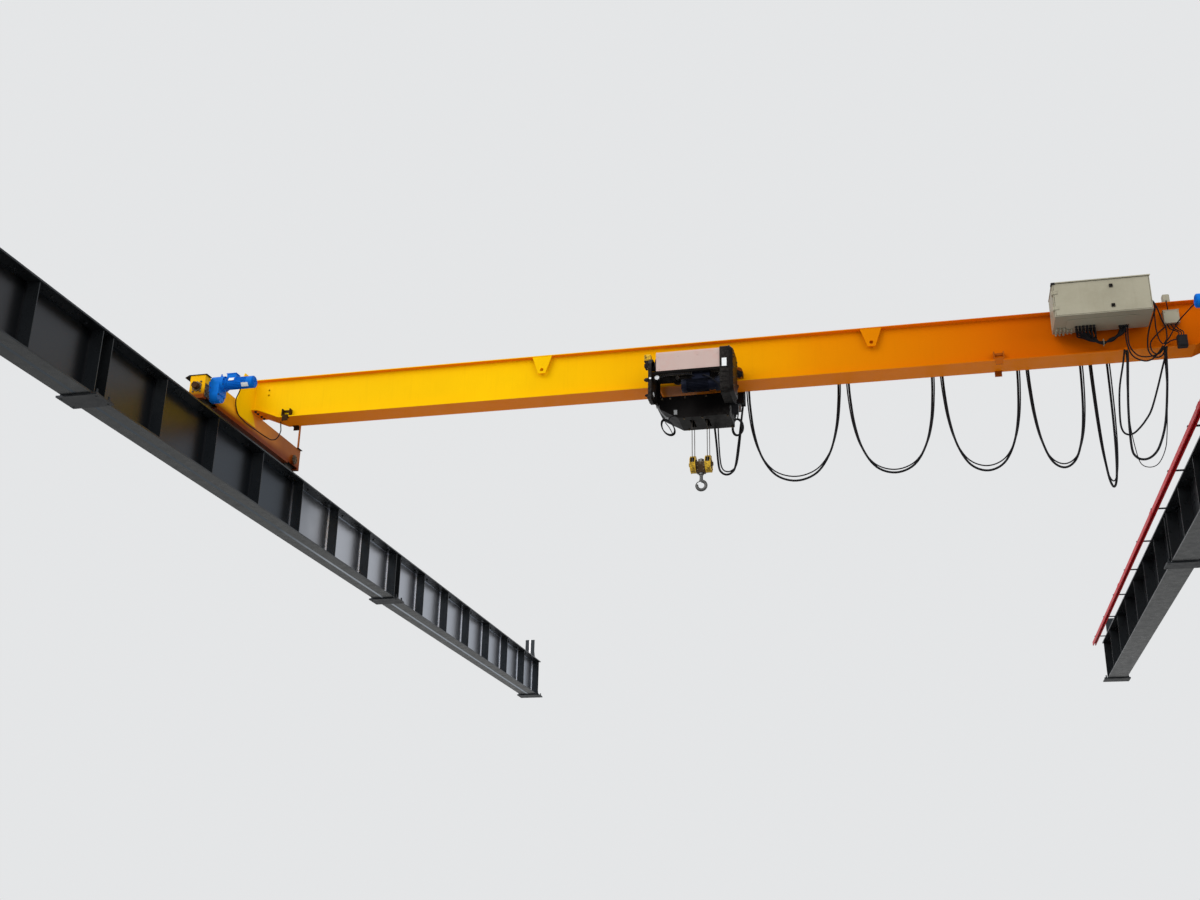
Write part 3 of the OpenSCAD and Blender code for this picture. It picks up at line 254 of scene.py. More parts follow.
surface("drum_steel", rgb(56, 54, 50), 0.4, metal=0.7, dirt=0.6, dirt_colour=rgb(24, 20, 15), dirt_scale=14)
surface("wire_rope", rgb(96, 90, 84), 0.42, metal=0.7, dirt=0.5, dirt_colour=rgb(38, 32, 26), dirt_scale=30)
surface("block_dark", rgb(58, 46, 34), 0.5, metal=0.3, dirt=0.5, dirt_colour=rgb(92, 70, 44), dirt_scale=14,
        wear=rgb(120, 110, 96))
surface("block_yellow", rgb(226, 184, 62), 0.42, vary=0.08, vary_scale=10, dirt=0.4,
        dirt_colour=rgb(132, 96, 34), dirt_scale=12, wear=rgb(84, 66, 44), wear_edge=0.6)
surface("sheave_steel", rgb(74, 72, 70), 0.42, metal=0.7, dirt=0.5, dirt_colour=rgb(34, 28, 22),
        dirt_scale=20)
surface("hook_steel", rgb(92, 92, 92), 0.36, metal=0.75, dirt=0.4, dirt_colour=rgb(50, 44, 38),
        dirt_scale=20, wear=rgb(170, 170, 168))
surface("carrier_black", rgb(30, 30, 32), 0.48, vary=0.2, vary_scale=14, dirt=0.3,
        dirt_colour=rgb(70, 66, 60), dirt_scale=14)
surface("stop_brown", rgb(50, 34, 18), 0.45, dirt=0.4, dirt_colour=rgb(104, 76, 36), dirt_scale=10,
        spec=0.1, bands=((0, 3.0, 9.0, rgb(168, 84, 20)),))
surface("cable_black", rgb(20, 20, 22), 0.46, vary=0.15, vary_scale=9, dirt=0.25, spec=0.15,
        dirt_colour=rgb(60, 57, 54), dirt_scale=6, grain=200)


def dress(node_name, material_name):
    """Gives a carried-over solid its finish."""
    mesh = nodes[node_name].data
    mesh.materials.clear()
    mesh.materials.append(MATERIALS[material_name])


for part in frame["record"]["subparts"]:
    dress(part["node"], part["material_slot"])


# Small forms, gathered into one mesh a piece
class Piece:
    """Gathers simple forms into one mesh, which then rides on a body."""

    def __init__(self, name, body, slot, material=None):
        self.name = name
        self.body = body
        self.slot = slot
        self.material = material or MATERIALS[slot]
        self.bm = bmesh.new()

    def box(self, low, high, bevel=0.0):
        size = Vector(high) - Vector(low)
        middle = (Vector(high) + Vector(low)) / 2
        place = Matrix.Translation(middle) @ Matrix.Diagonal((*size, 1.0))
        made = bmesh.ops.create_cube(self.bm, size=1.0, matrix=place)
        if bevel:
            edges = list({e for v in made["verts"] for e in v.link_edges})
            bmesh.ops.bevel(self.bm, geom=edges, offset=bevel, segments=2, affect="EDGES", clamp_overlap=True)

    def rod(self, start, end, r, sides=16):
        start, end = Vector(start), Vector(end)
        line = end - start
        turn = Vector((0, 0, 1)).rotation_difference(line.normalized()).to_matrix().to_4x4()
        place = Matrix.Translation((start + end) / 2) @ turn
        bmesh.ops.create_cone(self.bm, cap_ends=True, segments=sides, radius1=r, radius2=r, depth=line.length,
                              matrix=place)

    def bolt(self, at, axis, r):
        """A hexagon head on a washer, standing on a face at a point."""
        at, axis = Vector(at), Vector(axis).normalized()
        washer, head = 0.25 * r, 1.3 * r
        self.rod(at, at + axis * washer, r * 1.9, sides=18)
        self.rod(at + axis * washer, at + axis * (washer + head), r * 1.6, sides=6)
        self.rod(at + axis * (washer + head * 0.98), at + axis * (washer + head * 1.25), r * 0.9, sides=12)

    def bolt_circle(self, centre, out, radius, count, r, start=0.0):
        """Bolts on a circle of a face that looks along X, outwards where out is 1."""
        x, y, z = centre
        for a in angles(count, start):
            self.bolt((x, y + radius * math.cos(a), z + radius * math.sin(a)), (out, 0, 0), r)

    def ring(self, centre, radius, r, count, sides=8):
        """A round wire bent to a circle that looks along X."""
        x, y, z = centre
        points = [(x, y + radius * math.cos(a), z + radius * math.sin(a)) for a in angles(count)]
        self.tube(points, r, sides, closed=True)

    def cable(self, points, r, sides=8):
        """A cable on a smooth curve through points."""
        self.tube(smooth_path(points), r, sides)

    def tube(self, points, r, sides=10, closed=False):
        sweep(self.bm, points, r, sides, closed)

    def outline(self, points, axis, low, high):
        """A flat outline of 3-D points, thickened along an axis from low to high."""
        step = Vector([0, 0, 0])
        step[axis] = high - low
        bottom = []
        for p in points:
            q = list(p)
            q.insert(axis, low)
            bottom.append(self.bm.verts.new(q))
        face = self.bm.faces.new(bottom)
        grown = bmesh.ops.extrude_face_region(self.bm, geom=[face])
        moved = [v for v in grown["geom"] if isinstance(v, bmesh.types.BMVert)]
        bmesh.ops.translate(self.bm, verts=moved, vec=step)

    def make(self, smooth=35, ride=True):
        bmesh.ops.recalc_face_normals(self.bm, faces=self.bm.faces)
        mesh = bpy.data.meshes.new(self.name)
        self.bm.to_mesh(mesh)
        self.bm.free()
        mesh.polygons.foreach_set("use_smooth", [True] * len(mesh.polygons))
        mesh.set_sharp_from_angle(angle=math.radians(smooth))
        mesh.materials.append(self.material)
        made = bpy.data.objects.new(self.name, mesh)
        bpy.context.scene.collection.objects.link(made)
        if ride:
            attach(made, self.body)
        return made


def angles(count, start=0.0):
    """Evenly spaced angles of one full turn."""
    return [start + 2 * math.pi * k / count for k in range(count)]


def smooth_path(points, per_span=6):
    """A Catmull-Rom curve through points, with its ends kept."""
    p = [Vector(q) for q in points]
    p = [p[0] * 2 - p[1]] + p + [p[-1] * 2 - p[-2]]
    path = []
    for i in range(1, len(p) - 2):
        for k in range(per_span):
            t = k / per_span
            a, b, c, d = p[i - 1], p[i], p[i + 1], p[i + 2]
            path.append(0.5 * (2 * b + (c - a) * t + (2 * a - 5 * b + 4 * c - d) * t ** 2
                               + (3 * b - a - 3 * c + d) * t ** 3))
    path.append(p[-2])
    return path


def sweep(bm, points, r, sides=10, closed=False):
    """A round tube along points, with a ring square to the path at each, turned as little as possible."""
    p = [Vector(q) for q in points]
    n = len(p)
    up = None
    rings = []
    for i in range(n):
        if closed:
            heading = (p[(i + 1) % n] - p[i - 1]).normalized()
        else:
            heading = (p[min(i + 1, n - 1)] - p[max(i - 1, 0)]).normalized()
        if up is None:
            guess = Vector((0, 1, 0)) if abs(heading.y) < 0.9 else Vector((1, 0, 0))
            up = heading.cross(guess).normalized()
        up = (up - heading * up.dot(heading)).normalized()
        side = heading.cross(up)
        offsets = [math.cos(a) * up + math.sin(a) * side for a in angles(sides)]
        rings.append([bm.verts.new(p[i] + r * offset) for offset in offsets])
    pairs = list(zip(rings, rings[1:]))
    if closed:
        pairs.append((rings[-1], rings[0]))
    for a, b in pairs:
        for k in range(sides):
            bm.faces.new((a[k], a[(k + 1) % sides], b[(k + 1) % sides], b[k]))
    if not closed:
        bm.faces.new(list(reversed(rings[0])))
        bm.faces.new(rings[-1])


def path_length(points):
    return sum((Vector(b) - Vector(a)).length for a, b in zip(points, points[1:]))


def hung_cable(name, body, node, points, r, sides=12):
    """A cable that hangs between two clamps of one body, in place of a node's plain solid."""
    path = smooth_path(points)
    piece = Piece(name, body, "cable_black")
    piece.tube(path, r, sides)
    made = piece.make()
    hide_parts(node)
    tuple(points[0])
    round(path_length(path), 2)
    [tuple(p) for p in path]


# Festoon cables: the same routes as the solids have

TRACK_Y = 3.8
CARRIER_LOW = 1.385
CABLE_EXIT = 0.06
CABLE_R = 0.013
CLAMP_X = 10.695
CARRIERS = [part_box(f"cable_carrier_{i}") for i in range(5)]
STATIONS = [(low[0] + high[0]) / 2 for low, high in CARRIERS] + [CLAMP_X]
LOOP_DEPTHS = [1.395, 1.370, 1.415, 1.435, 1.700]
LOOP_SHAPE = [
    (0, 0), (0, 0.1), (0.012, 0.3), (0.05, 0.55), (0.13, 0.77), (0.28, 0.94), (0.5, 1), (0.72, 0.94),
    (0.87, 0.77), (0.95, 0.55), (0.988, 0.3), (1, 0.1), (1, 0),
]
HOIST_LOOP = [
    (6.435, 3.8, 1.385), (6.435, 3.8, 1.27), (6.405, 3.79, 0.96), (6.35, 3.762, 0.5), (6.31, 3.735, 0.2),
    (6.265, 3.722, 0.115), (6.206, 3.714, 0.09), (6.148, 3.708, 0.118), (6.114, 3.704, 0.2),
    (6.09, 3.701, 0.5), (6.055, 3.7, 0.9), (6.055, 3.7, 0.98),
]


def festoon_loop(name, i, exit_at, y, rise, r):
    """One hanging loop between two cable trolleys, or between the last one and the fixed clamp."""
    x0, x1 = STATIONS[i] + exit_at, STATIONS[i + 1] - exit_at
    route = [(x0 + u * (x1 - x0), y, CARRIER_LOW - d * (LOOP_DEPTHS[i] - rise)) for u, d in LOOP_SHAPE]
    path = smooth_path(route)
    left = f"cable_carrier_{i}"
    piece = Piece(name, left, "cable_black")
    piece.tube(path, r, 12)
    made = piece.make(ride=False)
    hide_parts("festoon_cables")
    tuple(route[0])
    round(path_length(path), 2)
    [tuple(p) for p in path]
    tuple(route[0])
    tuple(route[-1])
    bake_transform(made)


# A thinner second cable hangs beside each loop, a little less deep
THIN_R = 0.008
THIN_ASIDE = 0.024
THIN_RISES = [0.045, 0.03, 0.05, 0.035, 0.06]
for loop in range(5):
    festoon_loop(f"festoon_loop_{loop}", loop, CABLE_EXIT, TRACK_Y, 0.0, CABLE_R)
    festoon_loop(f"festoon_thin_{loop}", loop, CABLE_EXIT - THIN_ASIDE, TRACK_Y - THIN_ASIDE,
                 THIN_RISES[loop], THIN_R)

hung_cable("hoist_loop", "trolley", "hoist_cable", HOIST_LOOP, CABLE_R)


# The drive cable's loop at the bridge's right end

BRIDGE_LOOP = [
    (11.172, 3.205, 1.07), (11.172, 3.205, 0.98), (11.14, 3.205, 0.64), (11.07, 3.205, 0.2),
    (10.985, 3.205, -0.06), (10.905, 3.205, -0.18), (10.81, 3.205, -0.225), (10.725, 3.205, -0.19),
    (10.69, 3.205, -0.06), (10.71, 3.205, 0.4), (10.772, 3.205, 0.98), (10.772, 3.205, 1.07),
]
hung_cable("bridge_loop", "bridge", "bridge_cable", BRIDGE_LOOP, CABLE_R)


# Rope falls: six strands laid round each other, from the return pulleys to the hook block

ROPE_R = 0.005
STRANDS = 6
LAY_PITCH = 0.06
LAY_STEP = 0.008
FALL_LOW, FALL_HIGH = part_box("rope_falls")
BLOCK_Z, PULLEY_Z = FALL_LOW[2], FALL_HIGH[2]


def strands(piece, low, high):
    """A wire rope of round strands between two points on one upright line."""
    low, high = Vector(low), Vector(high)
    rings = max(2, round((high - low).length / LAY_STEP))
    for s in range(STRANDS):
        route = []
        for i in range(rings + 1):
            at = low.lerp(high, i / rings)
            a = 2 * math.pi * (s / STRANDS + (at.z - low.z) / LAY_PITCH)
            route.append(at + Vector((math.cos(a), math.sin(a), 0)) * ROPE_R * 0.62)
        piece.tube(route, ROPE_R * 0.38, 6)


number = 0
for x in (FALL_LOW[0] + ROPE_R, FALL_HIGH[0] - ROPE_R):
    for y in (FALL_LOW[1] + ROPE_R, FALL_HIGH[1] - ROPE_R):
        number += 1
        rope = Piece(f"rope_fall_{number}", "trolley", "wire_rope")
        strands(rope, (x, y, BLOCK_Z), (x, y, PULLEY_Z))
        fall = rope.make(smooth=60, ride=False)
        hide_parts("rope_falls")
        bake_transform(fall)


# Runway: rail clips, bolts under the top flange, anchor bolts and conductor bar joints

RUN_LOW, RUN_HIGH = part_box("runway_beams_left")
FLANGE_T = 0.02
CLIP_PITCH = 0.6
CLIP_HALF = 0.025
CLIP_TOP = BEAM_TOP + 0.024
CLIP_BOLT_X = 0.078


def runway_fixings(side, x):
    clips = Piece(f"rail_clips_{side}", "runway", "rail_steel")
    nuts = Piece(f"flange_nuts_{side}", "runway", "plate_steel")
    count = int((RUN_HIGH[1] - RUN_LOW[1] - 0.4) / CLIP_PITCH)
    for i in range(count + 1):
        y = RUN_LOW[1] + 0.3 + i * CLIP_PITCH
        y0, y1 = y - CLIP_HALF, y + CLIP_HALF
        for s in (-1, 1):
            near, far = sorted((x + s * 0.042, x + s * 0.106))
            foot = x + s * 0.075
            clips.box((near, y0, BEAM_TOP + 0.012), (far, y1, CLIP_TOP))
            clips.box((foot - 0.018, y0, BEAM_TOP), (foot + 0.018, y1, BEAM_TOP + 0.014))
            clips.bolt((x + s * CLIP_BOLT_X, y, CLIP_TOP), (0, 0, 1), 0.008)
            nuts.bolt((x + s * CLIP_BOLT_X, y, BEAM_TOP - FLANGE_T), (0, 0, -1), 0.009)
    clips.make()
    nuts.make()


runway_fixings("left", 0.0)
runway_fixings("right", SPAN)

SEAT_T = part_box("bearing_plates")[1][2]
SUPPORT_YS = (-8.24, 0.0, 8.4, 16.64)
ANCHOR_R = 0.012
ANCHOR_X, ANCHOR_Y = 0.205, 0.11
ANCHOR_PLATE, ANCHOR_PLATE_T = 0.03, 0.008
anchors = Piece("anchor_bolts", "runway", "plate_steel")
for rail_x in (0.0, SPAN):
    for support_y in SUPPORT_YS:
        for x in (rail_x - ANCHOR_X, rail_x + ANCHOR_X):
            for y in (support_y - ANCHOR_Y, support_y + ANCHOR_Y):
                anchors.box((x - ANCHOR_PLATE, y - ANCHOR_PLATE, SEAT_T),
                            (x + ANCHOR_PLATE, y + ANCHOR_PLATE, SEAT_T + ANCHOR_PLATE_T))
                anchors.bolt((x, y, SEAT_T + ANCHOR_PLATE_T), (0, 0, 1), ANCHOR_R)
                anchors.rod((x, y, SEAT_T), (x, y, SEAT_T + 0.06), ANCHOR_R)
anchors.make()

# Each joint of the conductor bar is a channel over it
BAR_LOW, BAR_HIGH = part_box("conductor_bar")
JOINT_T, JOINT_HALF, JOINT_PITCH = 0.004, 0.034, 4.0
bar_x = (BAR_LOW[0] + BAR_HIGH[0]) / 2
left, right = bar_x - JOINT_HALF, bar_x + JOINT_HALF
high, low = BAR_HIGH[2] + JOINT_T, BAR_LOW[2] + 0.006
section = [(left, low), (left + JOINT_T, low), (left + JOINT_T, high - JOINT_T),
           (right - JOINT_T, high - JOINT_T), (right - JOINT_T, low), (right, low), (right, high),
           (left, high)]
joints = Piece("conductor_joints", "runway", "conductor_red")
for i in range(5):
    y = RUN_LOW[1] + 4.6 + i * JOINT_PITCH
    joints.outline(section, 1, y - 0.09, y + 0.09)
joints.make()


# Girder: welds along its edges and seat bolts

WEB_FRONT, WEB_BACK = CRANE_Y - WEB_OUT, CRANE_Y + WEB_OUT
WEB_Z0, WEB_Z1 = 1.099, 1.625
WELD_X0, WELD_R = 0.52, 0.005
welds = Piece("girder_welds", "bridge", "girder_yellow")
for y in (WEB_FRONT, WEB_BACK):
    for z in (WEB_Z0, WEB_Z1):
        welds.tube([(WELD_X0, y, z), (SPAN - WELD_X0, y, z)], WELD_R, 8)
welds.make()

SEAT_Z = 1.21
seat_bolts = Piece("seat_bolts", "bridge", "plate_steel")
for x in (0.15, SPAN - 0.15):
    for dy in (-0.12, -0.05, 0.05, 0.12):
        seat_bolts.bolt((x, CRANE_Y + dy, SEAT_Z), (0, 0, -1), 0.01)
seat_bolts.make()


# End carriages: end plates round the buffers, bearing caps, and the cover at the near end

END_LOW, END_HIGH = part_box("end_carriage_left")
END_TOP = END_HIGH[2]
END_FACE = 0.122
BUFFER_Z = 1.06
WHEEL_Z = 1.0053
WHEEL_YS = (2.275, 4.525)
COVER_T = 0.006
plates = Piece("buffer_plates", "bridge", "block_dark")
caps = Piece("bearing_caps", "bridge", "block_dark")
covers = Piece("end_covers", "bridge", "hoist_black")
for x, inward in ((0.0, 1), (SPAN, -1)):
    for y, out in ((END_LOW[1], -1), (END_HIGH[1], 1)):
        plates.rod((x, y, BUFFER_Z), (x, y + out * 0.012, BUFFER_Z), 0.068, sides=6)
        for a in angles(4, math.pi / 4):
            plates.bolt((x + 0.068 * math.cos(a), y, BUFFER_Z + 0.088 * math.sin(a)), (0, out, 0), 0.007)
        low, high = sorted((y + out * 0.014, y - out * 0.11))
        roof = [(x - 0.165, END_TOP - 0.03), (x - 0.115, END_TOP), (x + END_FACE, END_TOP),
                (x + END_FACE, END_TOP + COVER_T), (x - 0.115, END_TOP + COVER_T),
                (x - 0.167, END_TOP - 0.024)]
        covers.outline(roof, 1, low, high)
    for y in WHEEL_YS:
        for s in (-1, 1) if y == WHEEL_YS[1] else (-1,):
            out = s * inward
            face = x + out * END_FACE
            caps.rod((face, y, WHEEL_Z), (face + out * 0.01, y, WHEEL_Z), 0.064, sides=32)
            caps.rod((face, y, WHEEL_Z), (face + out * 0.016, y, WHEEL_Z), 0.03, sides=24)
            caps.bolt_circle((face + out * 0.01, y, WHEEL_Z), out, 0.048, 6, 0.004)
plates.make()
caps.make()
covers.make()

# Dark plate of the driven wheel's axle, and the arm that trips the travel limit switch
AXLE_PLATE_X, AXLE_PLATE_T = 0.1, 0.012
axle = Piece("axle_plates", "bridge", "block_dark")
for x, inward in ((AXLE_PLATE_X, 1), (SPAN - AXLE_PLATE_X, -1)):
    face = x + inward * AXLE_PLATE_T
    low, high = sorted((x, face))
    axle.box((low, 2.085, 0.935), (high, 2.205, 1.1), 0.003)
    for y, z in ((2.105, 0.955), (2.105, 1.08), (2.18, 1.08)):
        axle.bolt((face, y, z), (inward, 0, 0), 0.005)
axle.make()
ARM_X, ARM_Z = 0.069, 1.6
arm = Piece("travel_limit_arm", "bridge", "carriage_orange")
arm.box((0.058, 4.69, END_TOP), (0.08, 4.712, ARM_Z), 0.002)
arm.box((0.04, 4.66, END_TOP), (0.1, 4.72, END_TOP + 0.008), 0.002)
arm.rod((ARM_X, 4.68, ARM_Z), (ARM_X, 4.72, ARM_Z), 0.018, sides=20)
arm.make()


# Travel drives: flange bolts, the motor's end cover, its label and its cable

MOTOR_Y, MOTOR_Z, MOTOR_R = 2.275, 1.1553, 0.075
EYE_X, EYE_Z = 0.2, 1.279
TRAVEL_CABLES = {
    "left": [
        (0.405, 2.35, 1.245), (0.4, 2.42, 1.25), (0.31, 2.58, 1.262), (0.19, 2.74, 1.25),
        (0.13, 2.79, 1.175), (0.12, 2.84, 1.08), (0.12, 2.917, 1.018), (0.12, 3.05, 0.995),
        (0.12, 3.2, 0.99), (0.123, 3.36, 0.995), (0.16, 3.44, 0.97),
        (0.244, 3.45, 0.915), (0.326, 3.45, 0.871), (0.4, 3.45, 0.885),
        (0.443, 3.45, 0.976), (0.436, 3.45, 1.06), (0.425, 3.45, 1.16),
    ],
    "right": [
        (11.595, 2.35, 1.245), (11.6, 2.43, 1.26), (11.56, 2.6, 1.36), (11.5, 2.85, 1.43),
        (11.42, 3.05, 1.41), (11.32, 3.17, 1.33), (11.24, 3.2, 1.2),
        (11.185, 3.205, 1.13), (11.172, 3.205, 1.098),
    ],
}


def travel_drive(side, x0, inward):
    def at(dx, y, z):
        return (x0 + inward * dx, y, z)

    bolts = Piece(f"travel_bolts_{side}", "bridge", "plate_steel")
    for y, z in ((2.2, 1.06), (2.35, 1.06), (2.195, 1.13), (2.355, 1.13)):
        bolts.bolt(at(0.116, y, z), (inward, 0, 0), 0.007)
    bolts.bolt_circle(at(0.27, MOTOR_Y, MOTOR_Z), inward, 0.085, 8, 0.004, math.pi / 8)
    bolts.bolt_circle(at(0.22, MOTOR_Y, WHEEL_Z - 0.01), inward, 0.07, 6, 0.004)
    bolts.make()

    trim = Piece(f"travel_trim_{side}", "bridge", "drive_blue")
    for r in (0.03, 0.045, 0.06):
        trim.ring(at(0.652, MOTOR_Y, MOTOR_Z), r, 0.0022, 28, 6)
    trim.ring(at(0.3, MOTOR_Y, MOTOR_Z), 0.074, 0.004, 36)
    trim.rod(at(EYE_X, MOTOR_Y, 1.245), at(EYE_X, MOTOR_Y, 1.27), 0.014, sides=12)
    trim.ring(at(EYE_X, MOTOR_Y, EYE_Z), 0.012, 0.004, 20)
    trim.make()

    label = Piece(f"travel_label_{side}", "bridge", "cover_white", MATERIALS["plate_white"])
    for a0, a1, dx0, dx1 in ((-62, -22, 0.505, 0.595), (8, 42, 0.335, 0.405)):
        low, high = sorted((x0 + inward * dx0, x0 + inward * dx1))
        outline = []
        for r, order in ((MOTOR_R + 0.003, (0, 1, 2, 3)), (MOTOR_R - 0.002, (3, 2, 1, 0))):
            for k in order:
                a = math.radians(a0 + (a1 - a0) * k / 3)
                outline.append((MOTOR_Y - r * math.cos(a), MOTOR_Z + r * math.sin(a)))
        label.outline(outline, 0, low, high)
    label.make()

    gland = Piece(f"travel_gland_{side}", "bridge", "carrier_black")
    gland.rod(at(0.405, 2.32, 1.245), at(0.405, 2.35, 1.245), 0.012, sides=8)
    gland.make()
    lead = Piece(f"travel_cable_{side}", "bridge", "cable_black")
    lead.cable(TRAVEL_CABLES[side], 0.007, 10)
    lead.make()


travel_drive("left", 0.0, 1)
travel_drive("right", SPAN, -1)


# Hoist: what is fixed to its end plate, gear case, cover and motor

HOIST_X0 = 5.45
GEAR_X0, GEAR_X1 = 6.29, 6.44
FRONT_Y = 2.7
DRUM_Y, DRUM_Z = 2.9, 1.18

fixings = Piece("hoist_fixings", "trolley", "block_dark")
for y, z in ((2.73, 0.74), (2.73, 1.1), (2.86, 0.73), (3.04, 0.82), (3.16, 0.87), (3.16, 1.2), (2.8, 1.225)):
    fixings.bolt((HOIST_X0, y, z), (-1, 0, 0), 0.008)
fixings.bolt_circle((HOIST_X0, DRUM_Y, DRUM_Z), -1, 0.052, 6, 0.005)
for z in (0.83, 0.93, 1.06, 1.19, 1.235):
    for y in (2.765, 3.045):
        fixings.bolt((GEAR_X1, y, z), (1, 0, 0), 0.006)
for x in (5.52, 5.62, 5.8, 6.05, 6.3):
    fixings.bolt((x, 3.188, 0.905), (0, -1, 0), 0.007)
for x in (5.78, 6.0, 6.3):
    for y in (3.22, 3.58):
        fixings.bolt((x, y, 0.65), (0, 0, -1), 0.007)
fixings.make()

# Gear case: a bolted rim round its outer face and ribs under it
rim = Piece("gearbox_rim", "trolley", "hoist_black")
outline = []
for cy, cz, start in ((2.76, 1.265, 90), (2.76, 0.8, 180), (3.05, 0.8, 270), (3.05, 1.265, 0)):
    for k in range(7):
        a = math.radians(start + k * 15)
        outline.append((6.398, cy + 0.062 * math.cos(a), cz + 0.062 * math.sin(a)))
rim.tube(outline, 0.006, 8, closed=True)
for z in (0.86, 0.92, 0.98, 1.04):
    rim.box((GEAR_X0 + 0.012, FRONT_Y - 0.008, z), (GEAR_X1 - 0.05, FRONT_Y + 0.004, z + 0.006), 0.001)
rim.rod((6.37, 2.9, 1.325), (6.37, 2.9, 1.345), 0.022, sides=24)
rim.rod((6.37, 2.9, 1.345), (6.37, 2.9, 1.36), 0.014, sides=6)
rim.make()

plates = Piece("hoist_labels", "trolley", "cover_white", MATERIALS["plate_white"])
plates.box((6.315, FRONT_Y - 0.0025, 1.05), (6.371, FRONT_Y + 0.002, 1.153), 0.001)
plates.rod((5.476, FRONT_Y - 0.004, 0.969), (5.476, FRONT_Y + 0.002, 0.969), 0.013, sides=16)
plates.rod((5.543, 2.757, 0.998), (5.543, 2.763, 0.998), 0.027, sides=28)
plates.box((5.489, 2.805, 0.8), (5.494, 2.862, 0.838), 0.001)
plates.make()

# Cover: a turned edge below and at both ends, and its screws
COVER_X0, COVER_X1 = 5.543, GEAR_X0 - 0.004
COVER_Y, COVER_LOW, COVER_HIGH = 2.718, 1.061, 1.31
HEM_R = 0.003
hem = Piece("cover_edges", "trolley", "cover_white")
hem.tube([(COVER_X0 - 0.001, COVER_Y, COVER_LOW), (COVER_X1 + 0.002, COVER_Y, COVER_LOW)], HEM_R, 8)
for x in (COVER_X0, COVER_X1):
    hem.cable([(x, COVER_Y, COVER_LOW), (x, COVER_Y, 1.2), (x, COVER_Y + 0.002, 1.27),
               (x, COVER_Y + 0.02, 1.302), (x, COVER_Y + 0.05, COVER_HIGH), (x, 3.0, COVER_HIGH)], HEM_R)
for x in (5.575, 5.8, 6.03, 6.255):
    for z in (1.085, 1.235):
        hem.rod((x, COVER_Y - 0.004, z), (x, COVER_Y, z), 0.008, sides=12)
hem.make()

# Limit switch housing with its bracket, and a knob, at the end plate
switch = Piece("drum_switch", "trolley", "block_yellow")
switch.box((5.368, 2.858, 1.275), (5.45, 2.938, 1.352), 0.006)
switch.rod((5.409, 2.898, 1.352), (5.409, 2.898, 1.36), 0.024, sides=20)
switch.make()
bracket = Piece("switch_bracket", "trolley", "hoist_black")
bracket.box((5.366, 2.87, 1.267), (5.45, 2.926, 1.275), 0.001)
bracket.box((5.442, 2.87, 1.17), (5.45, 2.926, 1.27), 0.001)
bracket.rod((5.404, 2.898, 1.22), (5.404, 2.898, 1.268), 0.03, sides=20)
bracket.box((5.49, 2.763, 0.968), (5.575, 2.79, 1.028), 0.004)
bracket.box((5.372, 2.85, 1.185), (5.45, 2.95, 1.23), 0.004)
for at, r in (((5.45, 2.7, 0.95), 0.024), ((5.45, 2.76, 0.78), 0.018)):
    bracket.rod(at, (at[0] - 0.03, at[1], at[2]), r, sides=20)
    bracket.rod((at[0] - 0.03, at[1], at[2]), (at[0] - 0.045, at[1], at[2]), r * 0.6, sides=6)
bracket.make()

# Hoist motor: the grille of its fan cover, end flange bolts and the box lid
MOTOR2_Y, MOTOR2_Z = 2.83, 0.895
LID_Z = 1.05
motor = Piece("hoist_motor_trim", "trolley", "motor_blue_black")
for r in (0.02, 0.035, 0.05, 0.065):
    motor.ring((5.83, MOTOR2_Y, MOTOR2_Z), r, 0.0025, 28, 6)
motor.bolt_circle((6.23, MOTOR2_Y, MOTOR2_Z), -1, 0.074, 8, 0.005, math.pi / 8)
motor.box((5.95, 2.77, LID_Z - 0.01), (6.165, 2.89, LID_Z), 0.002)
for x in (5.965, 6.15):
    for y in (2.785, 2.875):
        motor.bolt((x, y, LID_Z), (0, 0, 1), 0.003)
motor.make()
leads = Piece("hoist_motor_cable", "trolley", "cable_black")
leads.cable([(6.08, 2.77, 0.99), (6.1, 2.745, 0.98), (6.17, 2.735, 0.94), (6.24, 2.745, 0.88),
             (6.28, 2.765, 0.83), (6.292, 2.79, 0.8)], 0.008, 10)
leads.cable([(5.98, 2.77, 0.985), (5.94, 2.75, 1.0), (5.8, 2.745, 1.02), (5.65, 2.76, 1.012),
             (5.57, 2.778, 1.0)], 0.007, 10)
leads.make()

# Rope wound in the drum's grooves
WOUND_X0, WOUND_R = 5.561, 0.0995
GROOVE_PITCH, GROOVES, TURN_POINTS = 0.022, 29, 28
route = []
for i in range(GROOVES * TURN_POINTS + 1):
    turns = i / TURN_POINTS
    a = 2 * math.pi * turns
    x = WOUND_X0 + GROOVE_PITCH * turns
    route.append((x, DRUM_Y + WOUND_R * math.cos(a), DRUM_Z + WOUND_R * math.sin(a)))
drum_rope = Piece("drum_rope", "rope_drum", "wire_rope")
drum_rope.tube(route, ROPE_R, 8)
drum_rope.make(smooth=60)

# Hook block: nuts, cover screws and the pin through the crosshead
HOOK_X, HOOK_Z = 5.95, -0.14
SHEAVES = (5.86, 6.04)
COVER_HALF = 0.03
OUTER_FACES = ((SHEAVES[0] - COVER_HALF, -1), (SHEAVES[1] + COVER_HALF, 1))
block = Piece("block_fixings", "hook_block", "block_dark")
for x, out in ((5.824, -1), (6.076, 1)):
    block.rod((x, CRANE_Y, BLOCK_Z), (x + out * 0.004, CRANE_Y, BLOCK_Z), 0.034, sides=28)
    block.rod((x + out * 0.004, CRANE_Y, BLOCK_Z), (x + out * 0.018, CRANE_Y, BLOCK_Z), 0.024, sides=6)
for x, out in OUTER_FACES:
    block.bolt_circle((x, CRANE_Y, BLOCK_Z), out, 0.088, 6, 0.004, math.pi / 6)
for out in (-1, 1):
    for x in (5.915, 5.985):
        for z in (0.045, 0.09):
            block.bolt((x, CRANE_Y + out * 0.042, z), (0, out, 0), 0.006)
block.make()
rims = Piece("cover_rims", "hook_block", "block_yellow")
